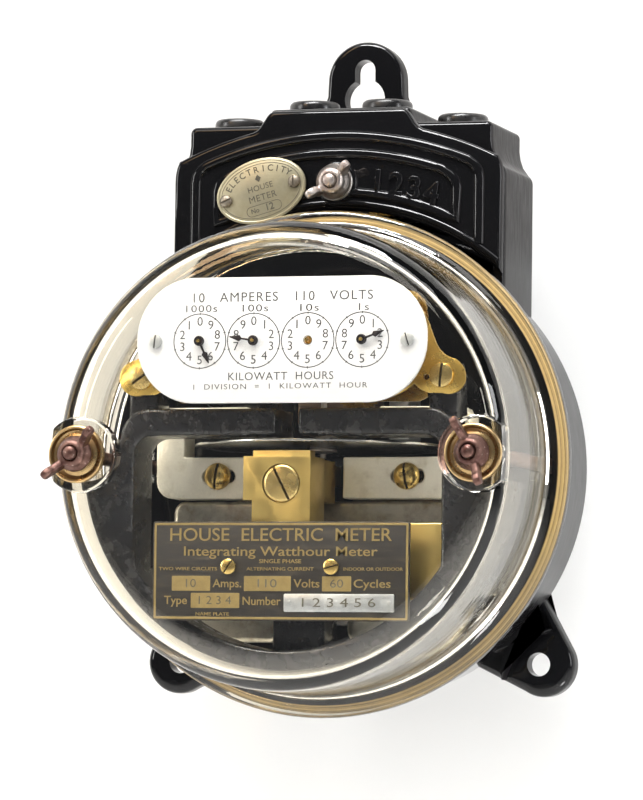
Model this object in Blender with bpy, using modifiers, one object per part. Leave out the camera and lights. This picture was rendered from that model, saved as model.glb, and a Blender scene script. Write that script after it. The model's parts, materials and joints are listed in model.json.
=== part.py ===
"""Dial electric meter with a round glass cover, for a wall.

Case, terminal chamber, register and disc movement.

Metres. X is to the right, the wall is the plane Y = 0, the front looks along -Y and Z is up.
The origin is the centre of the round case, on its back face. A depth is a distance in front of the wall.
"""

import math

import bmesh
import bpy
from mathutils import Matrix, Vector

# Clearances
GAP = 0.0003
RUNNING = 0.0003
CUT_PAST = 0.002

# Round case
CASE_BACK_R = 0.0823
CASE_RIM_R = 0.0855
CASE_DEPTH = 0.046
CASE_WALL = 0.0072
CASE_FLOOR = 0.005
BACK_STOCK = 0.002
BOSS_ROOT = 0.003
MAGNET_BOSS_R = 0.0040
JOIN_R = 0.080

# Terminal chamber on top of the case
CHAMBER_HALF = 0.0610
CHAMBER_DEPTH = 0.038
CHAMBER_SIDE_TOP = 0.1045
CHAMBER_WALL = 0.0042
CHAMBER_FLOOR_R = 0.088
CHAMBER_ROOF_UNDER = 0.112
SHOULDER_HALF = 0.0560
SHOULDER_TOP = 0.1215
CROWN_HALF = 0.0262
CROWN_TOP = 0.1272

# Hanging lug and feet
LUG_TOP = 0.1555
LUG_HALF = 0.0142
LUG_BASE_HALF = 0.0175
LUG_DEPTH = 0.007
KEY_SLOT_R = 0.0038
KEY_SLOT_TOP = 0.1484
KEY_EYE_R = 0.0075
KEY_EYE_Z = 0.134
FOOT_X = 0.0668
FOOT_Z = -0.0688
FOOT_PAD_R = 0.0115
FOOT_HOLE_R = 0.0042
FOOT_DEPTH = 0.007
FOOT_SPREAD = math.radians(10.5)

# Glass cover
GLASS_FLANGE_R = 0.0890
GLASS_FLANGE = 0.0050
GLASS_FRONT_R = 0.0803
GLASS_WINDOW_R = 0.0655
GLASS_SHOULDER = GLASS_FRONT_R - GLASS_WINDOW_R
GLASS_ROOT_R = 0.0820
GLASS_WALL = 0.0050
GLASS_FRONT = 0.1092
GLASS_FACE = 0.0034
GASKET = 0.0020
GASKET_IN_R = 0.0790
GASKET_OUT_R = 0.0862
BOSS_R = 0.0130
BOSS_RISE = 0.0006

# Cover studs, cups and wing nuts
STUD_X = 0.0704
STUD_R = 0.0024
STUD_POST_R = 0.0060
STUD_POST_DEPTH = 0.030
STUD_HOLE_DEPTH = 0.010
STUD_PAST_NUT = 0.0018
CUP_R = 0.0100
CUP_DEPTH = 0.0025
NUT_R = 0.0062
NUT_DEPTH = 0.0056
WING_REACH = 0.0125
LID_WING_REACH = 0.0098
WING_RISE = 0.0044
WING_THICK = 0.0026
LEFT_WING_TURN = math.radians(44)
RIGHT_WING_TURN = math.radians(113)
LID_WING_TURN = math.radians(38)

# Terminal cover, its stud and the number tag
LID_HALF = 0.0605
LID_ARCH_R = 0.133
LID_ARCH_TOP = 0.1226
LID_EDGE_R = 0.0905
LID_THICK = 0.0040
LID_CORNER = 0.0050
LID_SIDE_TOP = 0.1045
TAB_HALF = 0.0247
TAB_BASE_HALF = 0.0302
TAB_TOP = 0.1262
LID_STUD_Z = 0.1000
LID_STUD_POST_R = 0.0050
LID_STUD_POST_DEPTH = 0.014
WASHER_R = 0.0066
WASHER_THICK = 0.0012
TAG_X = -0.0272
TAG_Z = 0.0975
TAG_LONG = 0.0337
TAG_WIDE = 0.0228
TAG_THICK = 0.0008
TAG_TURN = math.radians(15.5)

# Wire bushings and terminals
WIRE_X = (-0.0415, -0.0135, 0.0135, 0.0415)
WIRE_DEPTH = 0.024
BUSHING_HEAD_R = 0.0090
BUSHING_HEAD = 0.0034
BUSHING_SHANK_R = 0.0060
BUSHING_BORE_R = 0.0036
BLOCK_HALF = 0.0500
BLOCK_LOW = 0.0850
BLOCK_HIGH = 0.0975
BLOCK_FRONT = 0.0185
TERMINAL_HALF = 0.0050
TERMINAL_LOW = 0.0890
TERMINAL_HIGH = 0.1010
TERMINAL_BORE_R = 0.0026

# Movement frame, a loop with a gap in its top bar
LOOP_FRONT = 0.095
LOOP_BACK = 0.075
LOOP_OUT_R = 0.0742
LOOP_IN_R = 0.0665
LOOP_IN_HALF = 0.0550
BAR_TOP = 0.0165
BAR_UNDER = 0.0073
BAR_HALF = 0.0600
BAR_GAP = 0.0080
STUD_NOTCH_R = 0.0085
FRAME_POST_R = 0.0038
FRAME_POST_TURN = math.radians(-35)
STEM_HALF = 0.0095
STEM_BACK = 0.062
STEM_FRONT = 0.078
CROSS_HALF = 0.0230
CROSS_LOW = -0.0430
CROSS_HIGH = -0.0330
COLUMN_LEFT = -0.0160
COLUMN_RIGHT = -0.0090
COLUMN_BACK = 0.070
ARM_LOW = 0.0440
ARM_HIGH = 0.0490

# Name plate
PLATE_HALF = 0.0457
PLATE_LOW = -0.0564
PLATE_HIGH = -0.0226
PLATE_FRONT = 0.1000
PLATE_THICK = 0.0012
PLATE_SCREW_X = 0.0183
PLATE_SCREW_Z = -0.0380
PLATE_SCREW_R = 0.0027
PLATE_POST_R = 0.0032
PLATE_POST_HOLE_R = 0.0016

# Dial plate
DIAL_PITCH = 0.0193
DIAL_Z = 0.0390
DIAL_HALF = 0.0517
DIAL_TALL = 0.0431
DIAL_CORNER_R = 0.0210
DIAL_FRONT = 0.1029
DIAL_THICK = 0.0012
DIAL_SCREW_X = 0.0449
DIAL_SCREW_R = 0.0024
DIAL_POST_R = 0.0026
DIAL_POST_HOLE_R = 0.0014

# Register frame
REGISTER_FRONT = 0.0904
REGISTER_BACK = 0.0790
REGISTER_PLATE = 0.0012
REGISTER_HALF = 0.0465
REGISTER_LOW = 0.0195
REGISTER_HIGH = 0.0585
EAR_HALF = 0.0622
EAR_X = 0.0538
EAR_Z = 0.0275
EAR_TALL = 0.0125
EAR_SCREW_R = 0.0042
EAR_HOLE_R = 0.0020
PILLAR_X = 0.0430
PILLAR_OFFSET_Z = 0.0158
PILLAR_R = 0.0018
SLEEVE_R = 0.0028

# Register gearing: 6-leaf pinions drive 60-tooth wheels
WHEEL_TEETH = 60
PINION_LEAVES = 6
WHEEL_THICK = 0.0010
PINION_LONG = 0.0015
WHEEL_TOOTH_UP = 0.00038
WHEEL_TOOTH_DOWN = 0.00060
PINION_TOOTH_UP = 0.00035
PINION_TOOTH_DOWN = 0.00058
WORM_WHEEL_TOOTH_UP = 0.00030
WORM_WHEEL_TOOTH_DOWN = 0.00060
LAYER_PITCH = 0.0020
SHAFT_R = 0.0008
SHAFT_TIP_R = 0.0006
PIVOT_HOLE_R = 0.0011
WORM_TEETH = 40
WORM_MODULE = 0.0005
WORM_PITCH_R = 0.00275
WORM_LONG = 0.0095
WORM_WHEEL_THICK = 0.0016
WORM_SHAFT_R = 0.0010

# Pointers
POINTER_REACH = 0.0086
POINTER_HUB_R = 0.0019
POINTER_THICK = 0.0006
POINTER_READINGS = {"pointer_1000": -5.70, "pointer_100": 7.75, "pointer_1": 1.94}

# Disc and spindle
SPINDLE_DEPTH = 0.051
SPINDLE_R = 0.0011
DISC_R = 0.0450
DISC_Z = 0.0056
DISC_THICK = 0.0008
DISC_HOLE_R = 0.0024
HUB_R = 0.0048
SPINDLE_FOOT_Z = 0.0002
PIVOT_R = 0.0005
PIVOT_LONG = 0.0012
BEARING_R = 0.0026

# Brass bearing block
BLOCK_LEFT = -0.0152
BLOCK_RIGHT = 0.0088
BLOCK_LEG_LEFT = -0.0120
BLOCK_TOP = 0.0000
BLOCK_STEP = -0.0150
BLOCK_LEG_LOW = -0.0440
BLOCK_BACK = 0.0645
BLOCK_CAP = 0.0020
BLOCK_ARM_HALF = 0.0050
BLOCK_ARM_LOW = -0.0080
BLOCK_ARM_HIGH = -0.0010
BLOCK_SCREW_X = -0.0016
BLOCK_SCREW_Z = -0.0093
BLOCK_SCREW_R = 0.0065
BLOCK_SCREW_DEEP = 0.0030
BLOCK_SCREW_HOLE_R = 0.0024

# Brake magnets, coils and cores
MAGNET_BACK = 0.0520
MAGNET_FRONT = 0.0640
MAGNET_LOW = -0.0130
MAGNET_POLE_UNDER = 0.0015
MAGNET_POLE_OVER = 0.0092
MAGNET_HIGH = 0.0190
MAGNET_IN = 0.0110
MAGNET_OUT = 0.0572
MAGNET_SPINE = 0.0470
MAGNET_POLE_IN = 0.0240
MAGNET_SCREW_X = 0.0343
MAGNET_SCREW_Z = -0.0052
MAGNET_SCREW_R = 0.0047
MAGNET_SLOT_R = 0.0024
MAGNET_CORNER_R = 0.0060
MAGNET_SLOT_HALF = 0.0060
SHIELD_BACK = 0.0545
SHIELD_THICK = 0.0060
SHIELD_IN = 0.0120
SHIELD_OUT = 0.0520
SHIELD_TOP = -0.0137
SHIELD_LOW = -0.0630
SHIELD_CORNER_R = 0.0180
SHIELD_BRIDGE = 0.0100
CORE_BACK = 0.0220
CORE_FRONT = 0.0380
CORE_LIMB = 0.0140
CORE_YOKE = 0.0100
CURRENT_LIMB_X = 0.0220
CURRENT_POLE_TOP = 0.0022
CURRENT_CORE_LOW = -0.0560
POTENTIAL_POLE = 0.0092
POTENTIAL_CORE_TOP = 0.0570
POTENTIAL_HALF = 0.0270
POTENTIAL_RETURN = 0.0070
COIL_ROUND = 0.0040
CURRENT_COIL_WALL = 0.0052
CURRENT_COIL_LOW = -0.0400
CURRENT_COIL_HIGH = -0.0100
POTENTIAL_COIL_WALL = 0.0055
POTENTIAL_COIL_LOW = 0.0140
POTENTIAL_COIL_HIGH = 0.0430
CORE_BOSS_R = 0.0060

# Facets
ROUND_STEPS = 60
SMALL_STEPS = 20
TINY_STEPS = 12

FACING_FRONT = (math.pi / 2, 0, 0)
UPRIGHT = (0, 0, 0)


def start_clean():
    for obj in list(bpy.data.objects):
        bpy.data.objects.remove(obj, do_unlink=True)


def new_collection(name):
    collection = bpy.data.collections.new(name)
    bpy.context.scene.collection.children.link(collection)
    return collection


start_clean()
METER = new_collection("dial_electric_meter")
CUTTERS = new_collection("cutters")
CUTTERS.hide_render = True


def material(name, colour, roughness, metallic=0.0, transmission=0.0):
    made = bpy.data.materials.new(name)
    made.use_nodes = True
    shader = made.node_tree.nodes["Principled BSDF"]
    shader.inputs["Base Color"].default_value = (*colour, 1.0)
    shader.inputs["Roughness"].default_value = roughness
    shader.inputs["Metallic"].default_value = metallic
    shader.inputs["Transmission Weight"].default_value = transmission
    return made


BLACK_ENAMEL = material("black_enamel", (0.012, 0.012, 0.014), 0.16)
GLASS = material("clear_glass", (0.98, 0.97, 0.93), 0.02, transmission=1.0)
BRASS = material("brass", (0.62, 0.46, 0.17), 0.28, 1.0)
OLD_BRONZE = material("old_bronze", (0.20, 0.12, 0.10), 0.42, 1.0)
STEEL = material("steel", (0.55, 0.54, 0.52), 0.32, 1.0)
NICKEL = material("nickel_plate", (0.66, 0.62, 0.54), 0.36, 1.0)
ALUMINIUM = material("aluminium", (0.80, 0.80, 0.80), 0.25, 1.0)
WHITE_ENAMEL = material("white_enamel", (0.86, 0.87, 0.88), 0.30)
BLACK_PLATE = material("black_plate", (0.05, 0.048, 0.045), 0.45, 0.3)
BLUED_STEEL = material("blued_steel", (0.03, 0.03, 0.035), 0.35, 0.6)
FELT = material("ochre_felt", (0.55, 0.36, 0.12), 0.90)
HARD_RUBBER = material("hard_rubber", (0.02, 0.02, 0.02), 0.45)
COPPER_TAPE = material("taped_coil", (0.10, 0.07, 0.05), 0.75)
IRON = material("core_iron", (0.20, 0.20, 0.21), 0.55, 0.8)


def add_object(name, data, place=(0, 0, 0), turn=UPRIGHT, finish=None):
    obj = bpy.data.objects.new(name, data)
    obj.location = place
    obj.rotation_euler = turn
    METER.objects.link(obj)
    if finish is not None:
        data.materials.append(finish)
    return obj


def shade_round(obj, angle=35):
    obj.data.shade_smooth()
    obj.data.set_sharp_from_angle(angle=math.radians(angle))


def in_front(x, depth, z):
    """World place of a point at this depth in front of the wall."""
    return (x, -depth, z)


def arc(centre_x, centre_z, radius, start, end, steps):
    """Points along an arc, both ends included."""
    turns = [start + (end - start) * step / steps for step in range(steps + 1)]
    return [(centre_x + radius * math.cos(t), centre_z + radius * math.sin(t)) for t in turns]


def circle(radius, steps=SMALL_STEPS, centre=(0, 0)):
    return arc(centre[0], centre[1], radius, 0, 2 * math.pi, steps)[:-1]


def rounded_box(half_x, half_z, radius, steps=5, centre=(0, 0)):
    points = []
    for quarter, (side_x, side_z) in enumerate(((1, 1), (-1, 1), (-1, -1), (1, -1))):
        corner_x = centre[0] + side_x * (half_x - radius)
        corner_z = centre[1] + side_z * (half_z - radius)
        start = quarter * math.pi / 2
        points += arc(corner_x, corner_z, radius, start, start + math.pi / 2, steps)
    return points


def mirrored(right_side):
    """A closed outline from its right half, which runs from bottom to top."""
    return right_side + [(-x, z) for x, z in reversed(right_side)]


def slab(name, loops, thickness):
    """A sheet centred on its own plane: an outline, with any holes as further loops."""
    if len(loops) == 1:
        mesh = bpy.data.meshes.new(name)
        shape = bmesh.new()
        face = shape.faces.new([shape.verts.new((across, up, -thickness / 2)) for across, up in loops[0]])
        grown = bmesh.ops.extrude_face_region(shape, geom=[face], use_keep_orig=True)["geom"]
        top = [item for item in grown if isinstance(item, bmesh.types.BMVert)]
        bmesh.ops.translate(shape, verts=top, vec=(0, 0, thickness))
        bmesh.ops.recalc_face_normals(shape, faces=shape.faces)
        shape.to_mesh(mesh)
        shape.free()
        return add_object(name, mesh)
    curve = bpy.data.curves.new(name, "CURVE")
    curve.dimensions = "2D"
    curve.fill_mode = "BOTH"
    curve.extrude = thickness / 2
    for loop in loops:
        spline = curve.splines.new("POLY")
        spline.points.add(len(loop) - 1)
        for point, (across, up) in zip(spline.points, loop):
            point.co = (across, up, 0, 1)
        spline.use_cyclic_u = True
    return as_mesh(add_object(name, curve))


def flat(name, loops, back, front, finish=None, at=(0, 0), spin=0.0):
    """A flat outline that faces the front, from one depth to another."""
    obj = slab(name, loops, front - back)
    obj.location = in_front(at[0], (back + front) / 2, at[1])
    obj.rotation_euler = (math.pi / 2, -spin, 0)
    if finish is not None:
        obj.data.materials.append(finish)
    return obj


def standing(name, loops, low, high, finish):
    """An outline in plan, as (x, depth) points, from one height to another."""
    obj = slab(name, [[(x, -depth) for x, depth in loop] for loop in loops], high - low)
    obj.location = (0, 0, (low + high) / 2)
    obj.data.materials.append(finish)
    return obj


def as_mesh(obj):
    """Replaces a curve object with a mesh object of the same name and place."""
    bpy.context.view_layer.update()
    graph = bpy.context.evaluated_depsgraph_get()
    mesh = bpy.data.meshes.new_from_object(obj.evaluated_get(graph))
    name = obj.name
    world = obj.matrix_world.copy()
    curve = obj.data
    bpy.data.objects.remove(obj, do_unlink=True)
    bpy.data.curves.remove(curve)
    shape = bmesh.new()
    shape.from_mesh(mesh)
    bmesh.ops.remove_doubles(shape, verts=shape.verts, dist=1e-6)
    bmesh.ops.recalc_face_normals(shape, faces=shape.faces)
    shape.to_mesh(mesh)
    shape.free()
    mesh.materials.clear()
    made = add_object(name, mesh)
    made.matrix_world = world
    return made


def box(name, low, high, finish=None):
    """A box between two corners, each (x, depth, z)."""
    size = Vector([b - a for a, b in zip(low, high)])
    middle = [(a + b) / 2 for a, b in zip(low, high)]
    mesh = bpy.data.meshes.new(name)
    shape = bmesh.new()
    bmesh.ops.create_cube(shape, size=1.0, matrix=Matrix.Diagonal((*size, 1.0)))
    shape.to_mesh(mesh)
    shape.free()
    return add_object(name, mesh, in_front(*middle), UPRIGHT, finish)


def rod(name, radius, place, length, turn=FACING_FRONT, steps=SMALL_STEPS, finish=None, end_radius=None):
    """A round bar from its place, forwards for FACING_FRONT and upwards for UPRIGHT."""
    mesh = bpy.data.meshes.new(name)
    shape = bmesh.new()
    bmesh.ops.create_cone(
        shape,
        cap_ends=True,
        segments=steps,
        radius1=radius,
        radius2=radius if end_radius is None else end_radius,
        depth=length,
        matrix=Matrix.Translation((0, 0, length / 2)),
    )
    shape.to_mesh(mesh)
    shape.free()
    obj = add_object(name, mesh, place, turn, finish)
    shade_round(obj)
    return obj


def turned(name, profile, place, turn=FACING_FRONT, steps=SMALL_STEPS, finish=None, closed=False):
    """A turned piece: (radius, height) points that run down its outer side. Heights go forwards or up."""
    mesh = bpy.data.meshes.new(name)
    points = [(radius, 0, height) for radius, height in profile]
    edges = [(i, i + 1) for i in range(len(points) - 1)]
    if closed:
        edges.append((len(points) - 1, 0))
    mesh.from_pydata(points, edges, [])
    obj = add_object(name, mesh, place, turn, finish)
    screw = obj.modifiers.new("Turn", "SCREW")
    screw.steps = steps
    screw.render_steps = steps
    screw.use_merge_vertices = True
    screw.merge_threshold = 0.00001
    screw.use_smooth_shade = True
    return obj


def hide_as_cutter(obj):
    for collection in obj.users_collection:
        collection.objects.unlink(obj)
    CUTTERS.objects.link(obj)
    obj.hide_render = True
    obj.display_type = "WIRE"


def combine(obj, other, operation):
    change = obj.modifiers.new(operation.title(), "BOOLEAN")
    change.operation = operation
    change.solver = "EXACT"
    change.object = other
    hide_as_cutter(other)
    return obj


def join(obj, *others):
    for other in others:
        combine(obj, other, "UNION")
    return obj


def cut(obj, *others):
    for other in others:
        combine(obj, other, "DIFFERENCE")
    return obj


def front_hole(name, radius, x, z, back, front, steps=SMALL_STEPS):
    return rod(name, radius, in_front(x, back, z), front - back, steps=steps)


def slotted_screw(name, radius, x, z, seat, head, finish, shank_r=0.0, shank=0.0):
    """A screw seen from the front: a low head on its seat with one slot, and a shank behind it."""
    slot_half = radius * 0.11
    profile = [(0, head), (radius * 0.72, head), (radius, head * 0.55), (radius, 0)]
    if shank > 0:
        profile += [(shank_r, 0), (shank_r, -shank)]
        profile.append((0, -shank))
    else:
        profile.append((0, 0))
    screw = turned(name, profile, in_front(x, seat, z), finish=finish)
    slot = box(
        name + "_slot",
        (x - slot_half, seat + head * 0.55, z - radius * 1.2),
        (x + slot_half, seat + head * 1.5, z + radius * 1.2),
    )
    return cut(screw, slot)


def gear_outline(teeth, pitch_r, addendum, dedendum, root_share, tip_share, tooth_at):
    """A spur gear with straight-sided teeth, one of them centred on the angle tooth_at."""
    points = []
    pitch = 2 * math.pi / teeth
    for tooth in range(teeth):
        middle = tooth_at + tooth * pitch
        for radius, offset in (
            (pitch_r - dedendum, -root_share / 2),
            (pitch_r + addendum, -tip_share / 2),
            (pitch_r + addendum, tip_share / 2),
            (pitch_r - dedendum, root_share / 2),
        ):
            turn = middle + offset * pitch
            points.append((radius * math.cos(turn), radius * math.sin(turn)))
    return points


# ---------------------------------------------------------------- worked-out places

GASKET_BACK = CASE_DEPTH + GAP
GLASS_BACK = GASKET_BACK + GASKET + GAP
GLASS_STEP = GLASS_BACK + GLASS_FLANGE
BOSS_FRONT = GLASS_FRONT + BOSS_RISE
CUP_BACK = BOSS_FRONT + GAP
NUT_BACK = CUP_BACK + CUP_DEPTH + GAP
LID_BACK = CHAMBER_DEPTH + GAP
LID_FRONT = LID_BACK + LID_THICK
WASHER_BACK = LID_FRONT + GAP
LID_NUT_BACK = WASHER_BACK + WASHER_THICK + GAP
DIAL_X = [(step - 1.5) * DIAL_PITCH for step in range(4)]
GEAR_MODULE = 2 * DIAL_PITCH / (WHEEL_TEETH + PINION_LEAVES)
WHEEL_PITCH_R = GEAR_MODULE * WHEEL_TEETH / 2
PINION_PITCH_R = GEAR_MODULE * PINION_LEAVES / 2
WORM_WHEEL_R = WORM_MODULE * WORM_TEETH / 2
WORM_SHAFT_X = WORM_PITCH_R + WORM_WHEEL_R
WORM_SHAFT_Z = DIAL_Z - math.sqrt(DIAL_PITCH**2 - (DIAL_X[3] - WORM_SHAFT_X) ** 2)
LAYER_ONE = REGISTER_BACK + REGISTER_PLATE + 0.0014
CASE_IN_BACK_R = CASE_BACK_R - CASE_WALL
CASE_IN_RIM_R = CASE_RIM_R - CASE_WALL


def chamber_outline():
    start = math.acos(CHAMBER_HALF / JOIN_R)
    floor = arc(0, 0, JOIN_R, math.pi / 2, start, 10)[1:]
    side = [
        (CHAMBER_HALF, CHAMBER_SIDE_TOP),
        (SHOULDER_HALF, CHAMBER_SIDE_TOP + (CHAMBER_HALF - SHOULDER_HALF) * 1.2),
        (SHOULDER_HALF, SHOULDER_TOP),
        (CROWN_HALF, SHOULDER_TOP),
        (CROWN_HALF, CROWN_TOP),
    ]
    return mirrored(floor + side)


def chamber_room_outline():
    half = CHAMBER_HALF - CHAMBER_WALL
    start = math.acos(half / CHAMBER_FLOOR_R)
    floor = arc(0, 0, CHAMBER_FLOOR_R, math.pi / 2, start, 10)[1:]
    corner = CHAMBER_HALF - SHOULDER_HALF
    side = [
        (half, CHAMBER_ROOF_UNDER - corner * 1.6),
        (half - corner, CHAMBER_ROOF_UNDER),
    ]
    return mirrored(floor + side)


def lug_outline():
    arch_z = LUG_TOP - LUG_HALF
    arch = arc(0, arch_z, LUG_HALF, 0, math.pi / 2, 6)[:-1]
    foot = CROWN_TOP - 0.006
    return mirrored([(LUG_BASE_HALF, foot)] + arch) + [(0, foot)]


def foot_outline(side):
    """A pad round the screw hole that widens to where it meets the case."""
    towards = math.atan2(FOOT_Z, FOOT_X)
    centre_x = FOOT_X + 0.0012
    lower = (JOIN_R * math.cos(towards - FOOT_SPREAD), JOIN_R * math.sin(towards - FOOT_SPREAD))
    upper = (JOIN_R * math.cos(towards + FOOT_SPREAD), JOIN_R * math.sin(towards + FOOT_SPREAD))
    pad = arc(centre_x, FOOT_Z, FOOT_PAD_R, towards - math.radians(82), towards + math.radians(82), 10)
    points = [lower] + pad + [upper]
    return [(side * x, z) for x, z in points]


def make_case():
    case = turned(
        "case",
        [
            (0, CASE_FLOOR),
            (CASE_IN_BACK_R, CASE_FLOOR),
            (CASE_IN_RIM_R, CASE_DEPTH),
            (CASE_RIM_R, CASE_DEPTH),
            (CASE_RIM_R, CASE_DEPTH - 0.004),
            (CASE_BACK_R, 0),
            (CASE_BACK_R, -BACK_STOCK),
            (0, -BACK_STOCK),
        ],
        in_front(0, 0, 0),
        steps=ROUND_STEPS,
        finish=BLACK_ENAMEL,
    )
    join(case, flat("case_chamber", [chamber_outline()], -0.5 * BACK_STOCK, CHAMBER_DEPTH))
    cut(case, flat("case_chamber_room", [chamber_room_outline()], CASE_FLOOR, CHAMBER_DEPTH + 0.002))
    join(case, flat("case_lug", [lug_outline()], -1.5 * BACK_STOCK, LUG_DEPTH))
    for side, name in ((-1, "left"), (1, "right")):
        join(case, flat(f"case_foot_{name}", [foot_outline(side)], -1.5 * BACK_STOCK, FOOT_DEPTH))
        cut(case, front_hole(f"case_foot_hole_{name}", FOOT_HOLE_R, side * FOOT_X, FOOT_Z, -0.005, 0.010))
        post = front_hole(f"case_stud_post_{name}", STUD_POST_R, side * STUD_X, 0, BOSS_ROOT, STUD_POST_DEPTH)
        mouth = STUD_POST_DEPTH + CUT_PAST
        hole = front_hole(f"case_stud_hole_{name}", STUD_R + GAP, side * STUD_X, 0, STUD_HOLE_DEPTH, mouth)
        cut(join(case, post), hole)
    slot_top = KEY_SLOT_TOP - KEY_SLOT_R
    slot = arc(0, slot_top, KEY_SLOT_R, 0, math.pi, 8) + [(-KEY_SLOT_R, KEY_EYE_Z), (KEY_SLOT_R, KEY_EYE_Z)]
    cut(case, flat("case_key_slot", [slot], -0.005, LUG_DEPTH + 0.002))
    cut(case, front_hole("case_key_eye", KEY_EYE_R, 0, KEY_EYE_Z, -0.005, LUG_DEPTH + 0.0005, 24))
    for number, x in enumerate(WIRE_X, 1):
        low = (x, -WIRE_DEPTH, CHAMBER_ROOF_UNDER - 0.002)
        cut(case, rod(f"case_wire_hole_{number}", BUSHING_SHANK_R + GAP, low, 0.020, UPRIGHT))
    lid_post = front_hole("case_lid_post", LID_STUD_POST_R, 0, LID_STUD_Z, BOSS_ROOT, LID_STUD_POST_DEPTH)
    lid_hole = front_hole(
        "case_lid_stud_hole", STUD_R + GAP, 0, LID_STUD_Z, CASE_FLOOR + 0.001, LID_STUD_POST_DEPTH + 0.002
    )
    cut(join(case, lid_post), lid_hole)
    middle_of_yoke = POTENTIAL_CORE_TOP - CORE_YOKE / 2
    for name, z in (("upper", middle_of_yoke), ("lower", CURRENT_CORE_LOW + CORE_YOKE / 2)):
        join(case, front_hole(f"case_core_boss_{name}", CORE_BOSS_R, 0, z, BOSS_ROOT, CORE_BACK - GAP))
    for side, name in ((-1, "left"), (1, "right")):
        x = side * MAGNET_SCREW_X
        boss_front = MAGNET_BACK - GAP
        join(case, front_hole(f"case_magnet_boss_{name}", MAGNET_BOSS_R, x, MAGNET_SCREW_Z, BOSS_ROOT, boss_front))
    reach = CROWN_TOP + LUG_TOP
    cut(case, box("case_back_plane", (-reach, -0.010, -reach), (reach, 0, reach)))
    return case


def make_glass_cover():
    inner_root = GLASS_ROOT_R - GLASS_WALL
    inner_front = GLASS_FRONT_R - GLASS_WALL
    face_back = GLASS_FRONT - GLASS_FACE
    cover = turned(
        "glass_cover",
        [
            (0, GLASS_FRONT),
            (GLASS_WINDOW_R, GLASS_FRONT),
            (GLASS_WINDOW_R + GLASS_SHOULDER * 0.32, GLASS_FRONT - GLASS_SHOULDER * 0.03),
            (GLASS_WINDOW_R + GLASS_SHOULDER * 0.62, GLASS_FRONT - GLASS_SHOULDER * 0.13),
            (GLASS_WINDOW_R + GLASS_SHOULDER * 0.86, GLASS_FRONT - GLASS_SHOULDER * 0.32),
            (GLASS_FRONT_R, GLASS_FRONT - GLASS_SHOULDER * 0.62),
            (GLASS_ROOT_R, GLASS_STEP + 0.0030),
            (GLASS_ROOT_R + 0.0020, GLASS_STEP + 0.0005),
            (GLASS_FLANGE_R - 0.0012, GLASS_STEP - 0.0002),
            (GLASS_FLANGE_R, GLASS_STEP - 0.0014),
            (GLASS_FLANGE_R, GLASS_BACK + 0.0014),
            (GLASS_FLANGE_R - 0.0012, GLASS_BACK),
            (inner_root, GLASS_BACK),
            (inner_front, face_back - 0.0055),
            (inner_front - 0.0022, face_back - 0.0018),
            (inner_front - 0.0060, face_back - 0.0003),
            (GLASS_WINDOW_R, face_back),
            (0, face_back),
        ],
        in_front(0, 0, 0),
        steps=ROUND_STEPS,
        finish=GLASS,
    )
    for side, name in ((-1, "left"), (1, "right")):
        boss = front_hole(f"glass_boss_{name}", BOSS_R, side * STUD_X, 0, face_back + 0.001, BOSS_FRONT, 32)
        trim = turned(
            f"glass_boss_trim_{name}",
            [
                (GLASS_FRONT_R + 0.02, BOSS_FRONT + 0.005),
                (GLASS_FRONT_R + 0.02, face_back - 0.005),
                (GLASS_FRONT_R - 0.0002, face_back - 0.005),
                (GLASS_FRONT_R - 0.0002, BOSS_FRONT + 0.005),
            ],
            in_front(0, 0, 0),
            steps=ROUND_STEPS,
            closed=True,
        )
        cut(boss, trim)
        join(cover, boss)
        low = face_back - 2 * CUT_PAST
        high = BOSS_FRONT + 2 * CUT_PAST
        hole = front_hole(f"glass_hole_{name}", STUD_R + 2 * GAP, side * STUD_X, 0, low, high)
        cut(cover, hole)
    return cover


def make_gasket():
    profile = [
        (GASKET_OUT_R, GASKET),
        (GASKET_OUT_R, 0),
        (GASKET_IN_R, 0),
        (GASKET_IN_R, GASKET),
    ]
    place = in_front(0, GASKET_BACK, 0)
    turned("cover_gasket", profile, place, steps=ROUND_STEPS, finish=FELT, closed=True)


def make_stud(name, x, z, back, front):
    length = front - back
    profile = [(0, length), (STUD_R * 0.7, length), (STUD_R, length - 0.0008), (STUD_R, 0), (0, 0)]
    turned(name, profile, in_front(x, back, z), finish=BRASS)


def make_cup(name, x):
    hole = STUD_R + GAP
    profile = [
        (CUP_R - 0.0012, CUP_DEPTH),
        (CUP_R, CUP_DEPTH - 0.0010),
        (CUP_R, 0.0004),
        (CUP_R - 0.0006, 0),
        (hole, 0),
        (hole, 0.0012),
        (NUT_R - 0.0002, 0.0012),
    ]
    turned(name, profile, in_front(x, CUP_BACK, 0), finish=BRASS, steps=32, closed=True)


def make_wing_nut(name, x, z, back, turn, reach, finish):
    """A round hub with two wings that lean out and forwards, origin on its thread's axis."""
    bore = STUD_R + RUNNING
    profile = [
        (bore, NUT_DEPTH),
        (NUT_R * 0.62, NUT_DEPTH),
        (NUT_R * 0.80, NUT_DEPTH * 0.55),
        (NUT_R, NUT_DEPTH * 0.22),
        (NUT_R, 0),
        (bore, 0),
    ]
    nut = turned(name, profile, in_front(x, back, z), finish=finish, closed=True)
    nut.rotation_euler = (math.pi / 2, -turn, 0)
    lie = Matrix.Rotation(-turn, 4, "Y") @ Matrix.Rotation(math.pi, 4, "X")
    for side, word in ((1, "a"), (-1, "b")):
        outline = [
            (NUT_R * 0.56, NUT_DEPTH * 0.15),
            (NUT_R * 0.98, NUT_DEPTH * 0.15),
            (reach, NUT_DEPTH + WING_RISE * 0.45),
            (reach - 0.0007, NUT_DEPTH + WING_RISE),
            (reach - 0.0036, NUT_DEPTH + WING_RISE),
            (NUT_R * 0.56, NUT_DEPTH * 0.92),
        ]
        wing = slab(f"{name}_wing_{word}", [[(side * out, up) for out, up in outline]], WING_THICK)
        wing.matrix_world = Matrix.Translation(in_front(x, back, z)) @ lie
        join(nut, wing)
    return nut


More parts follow.
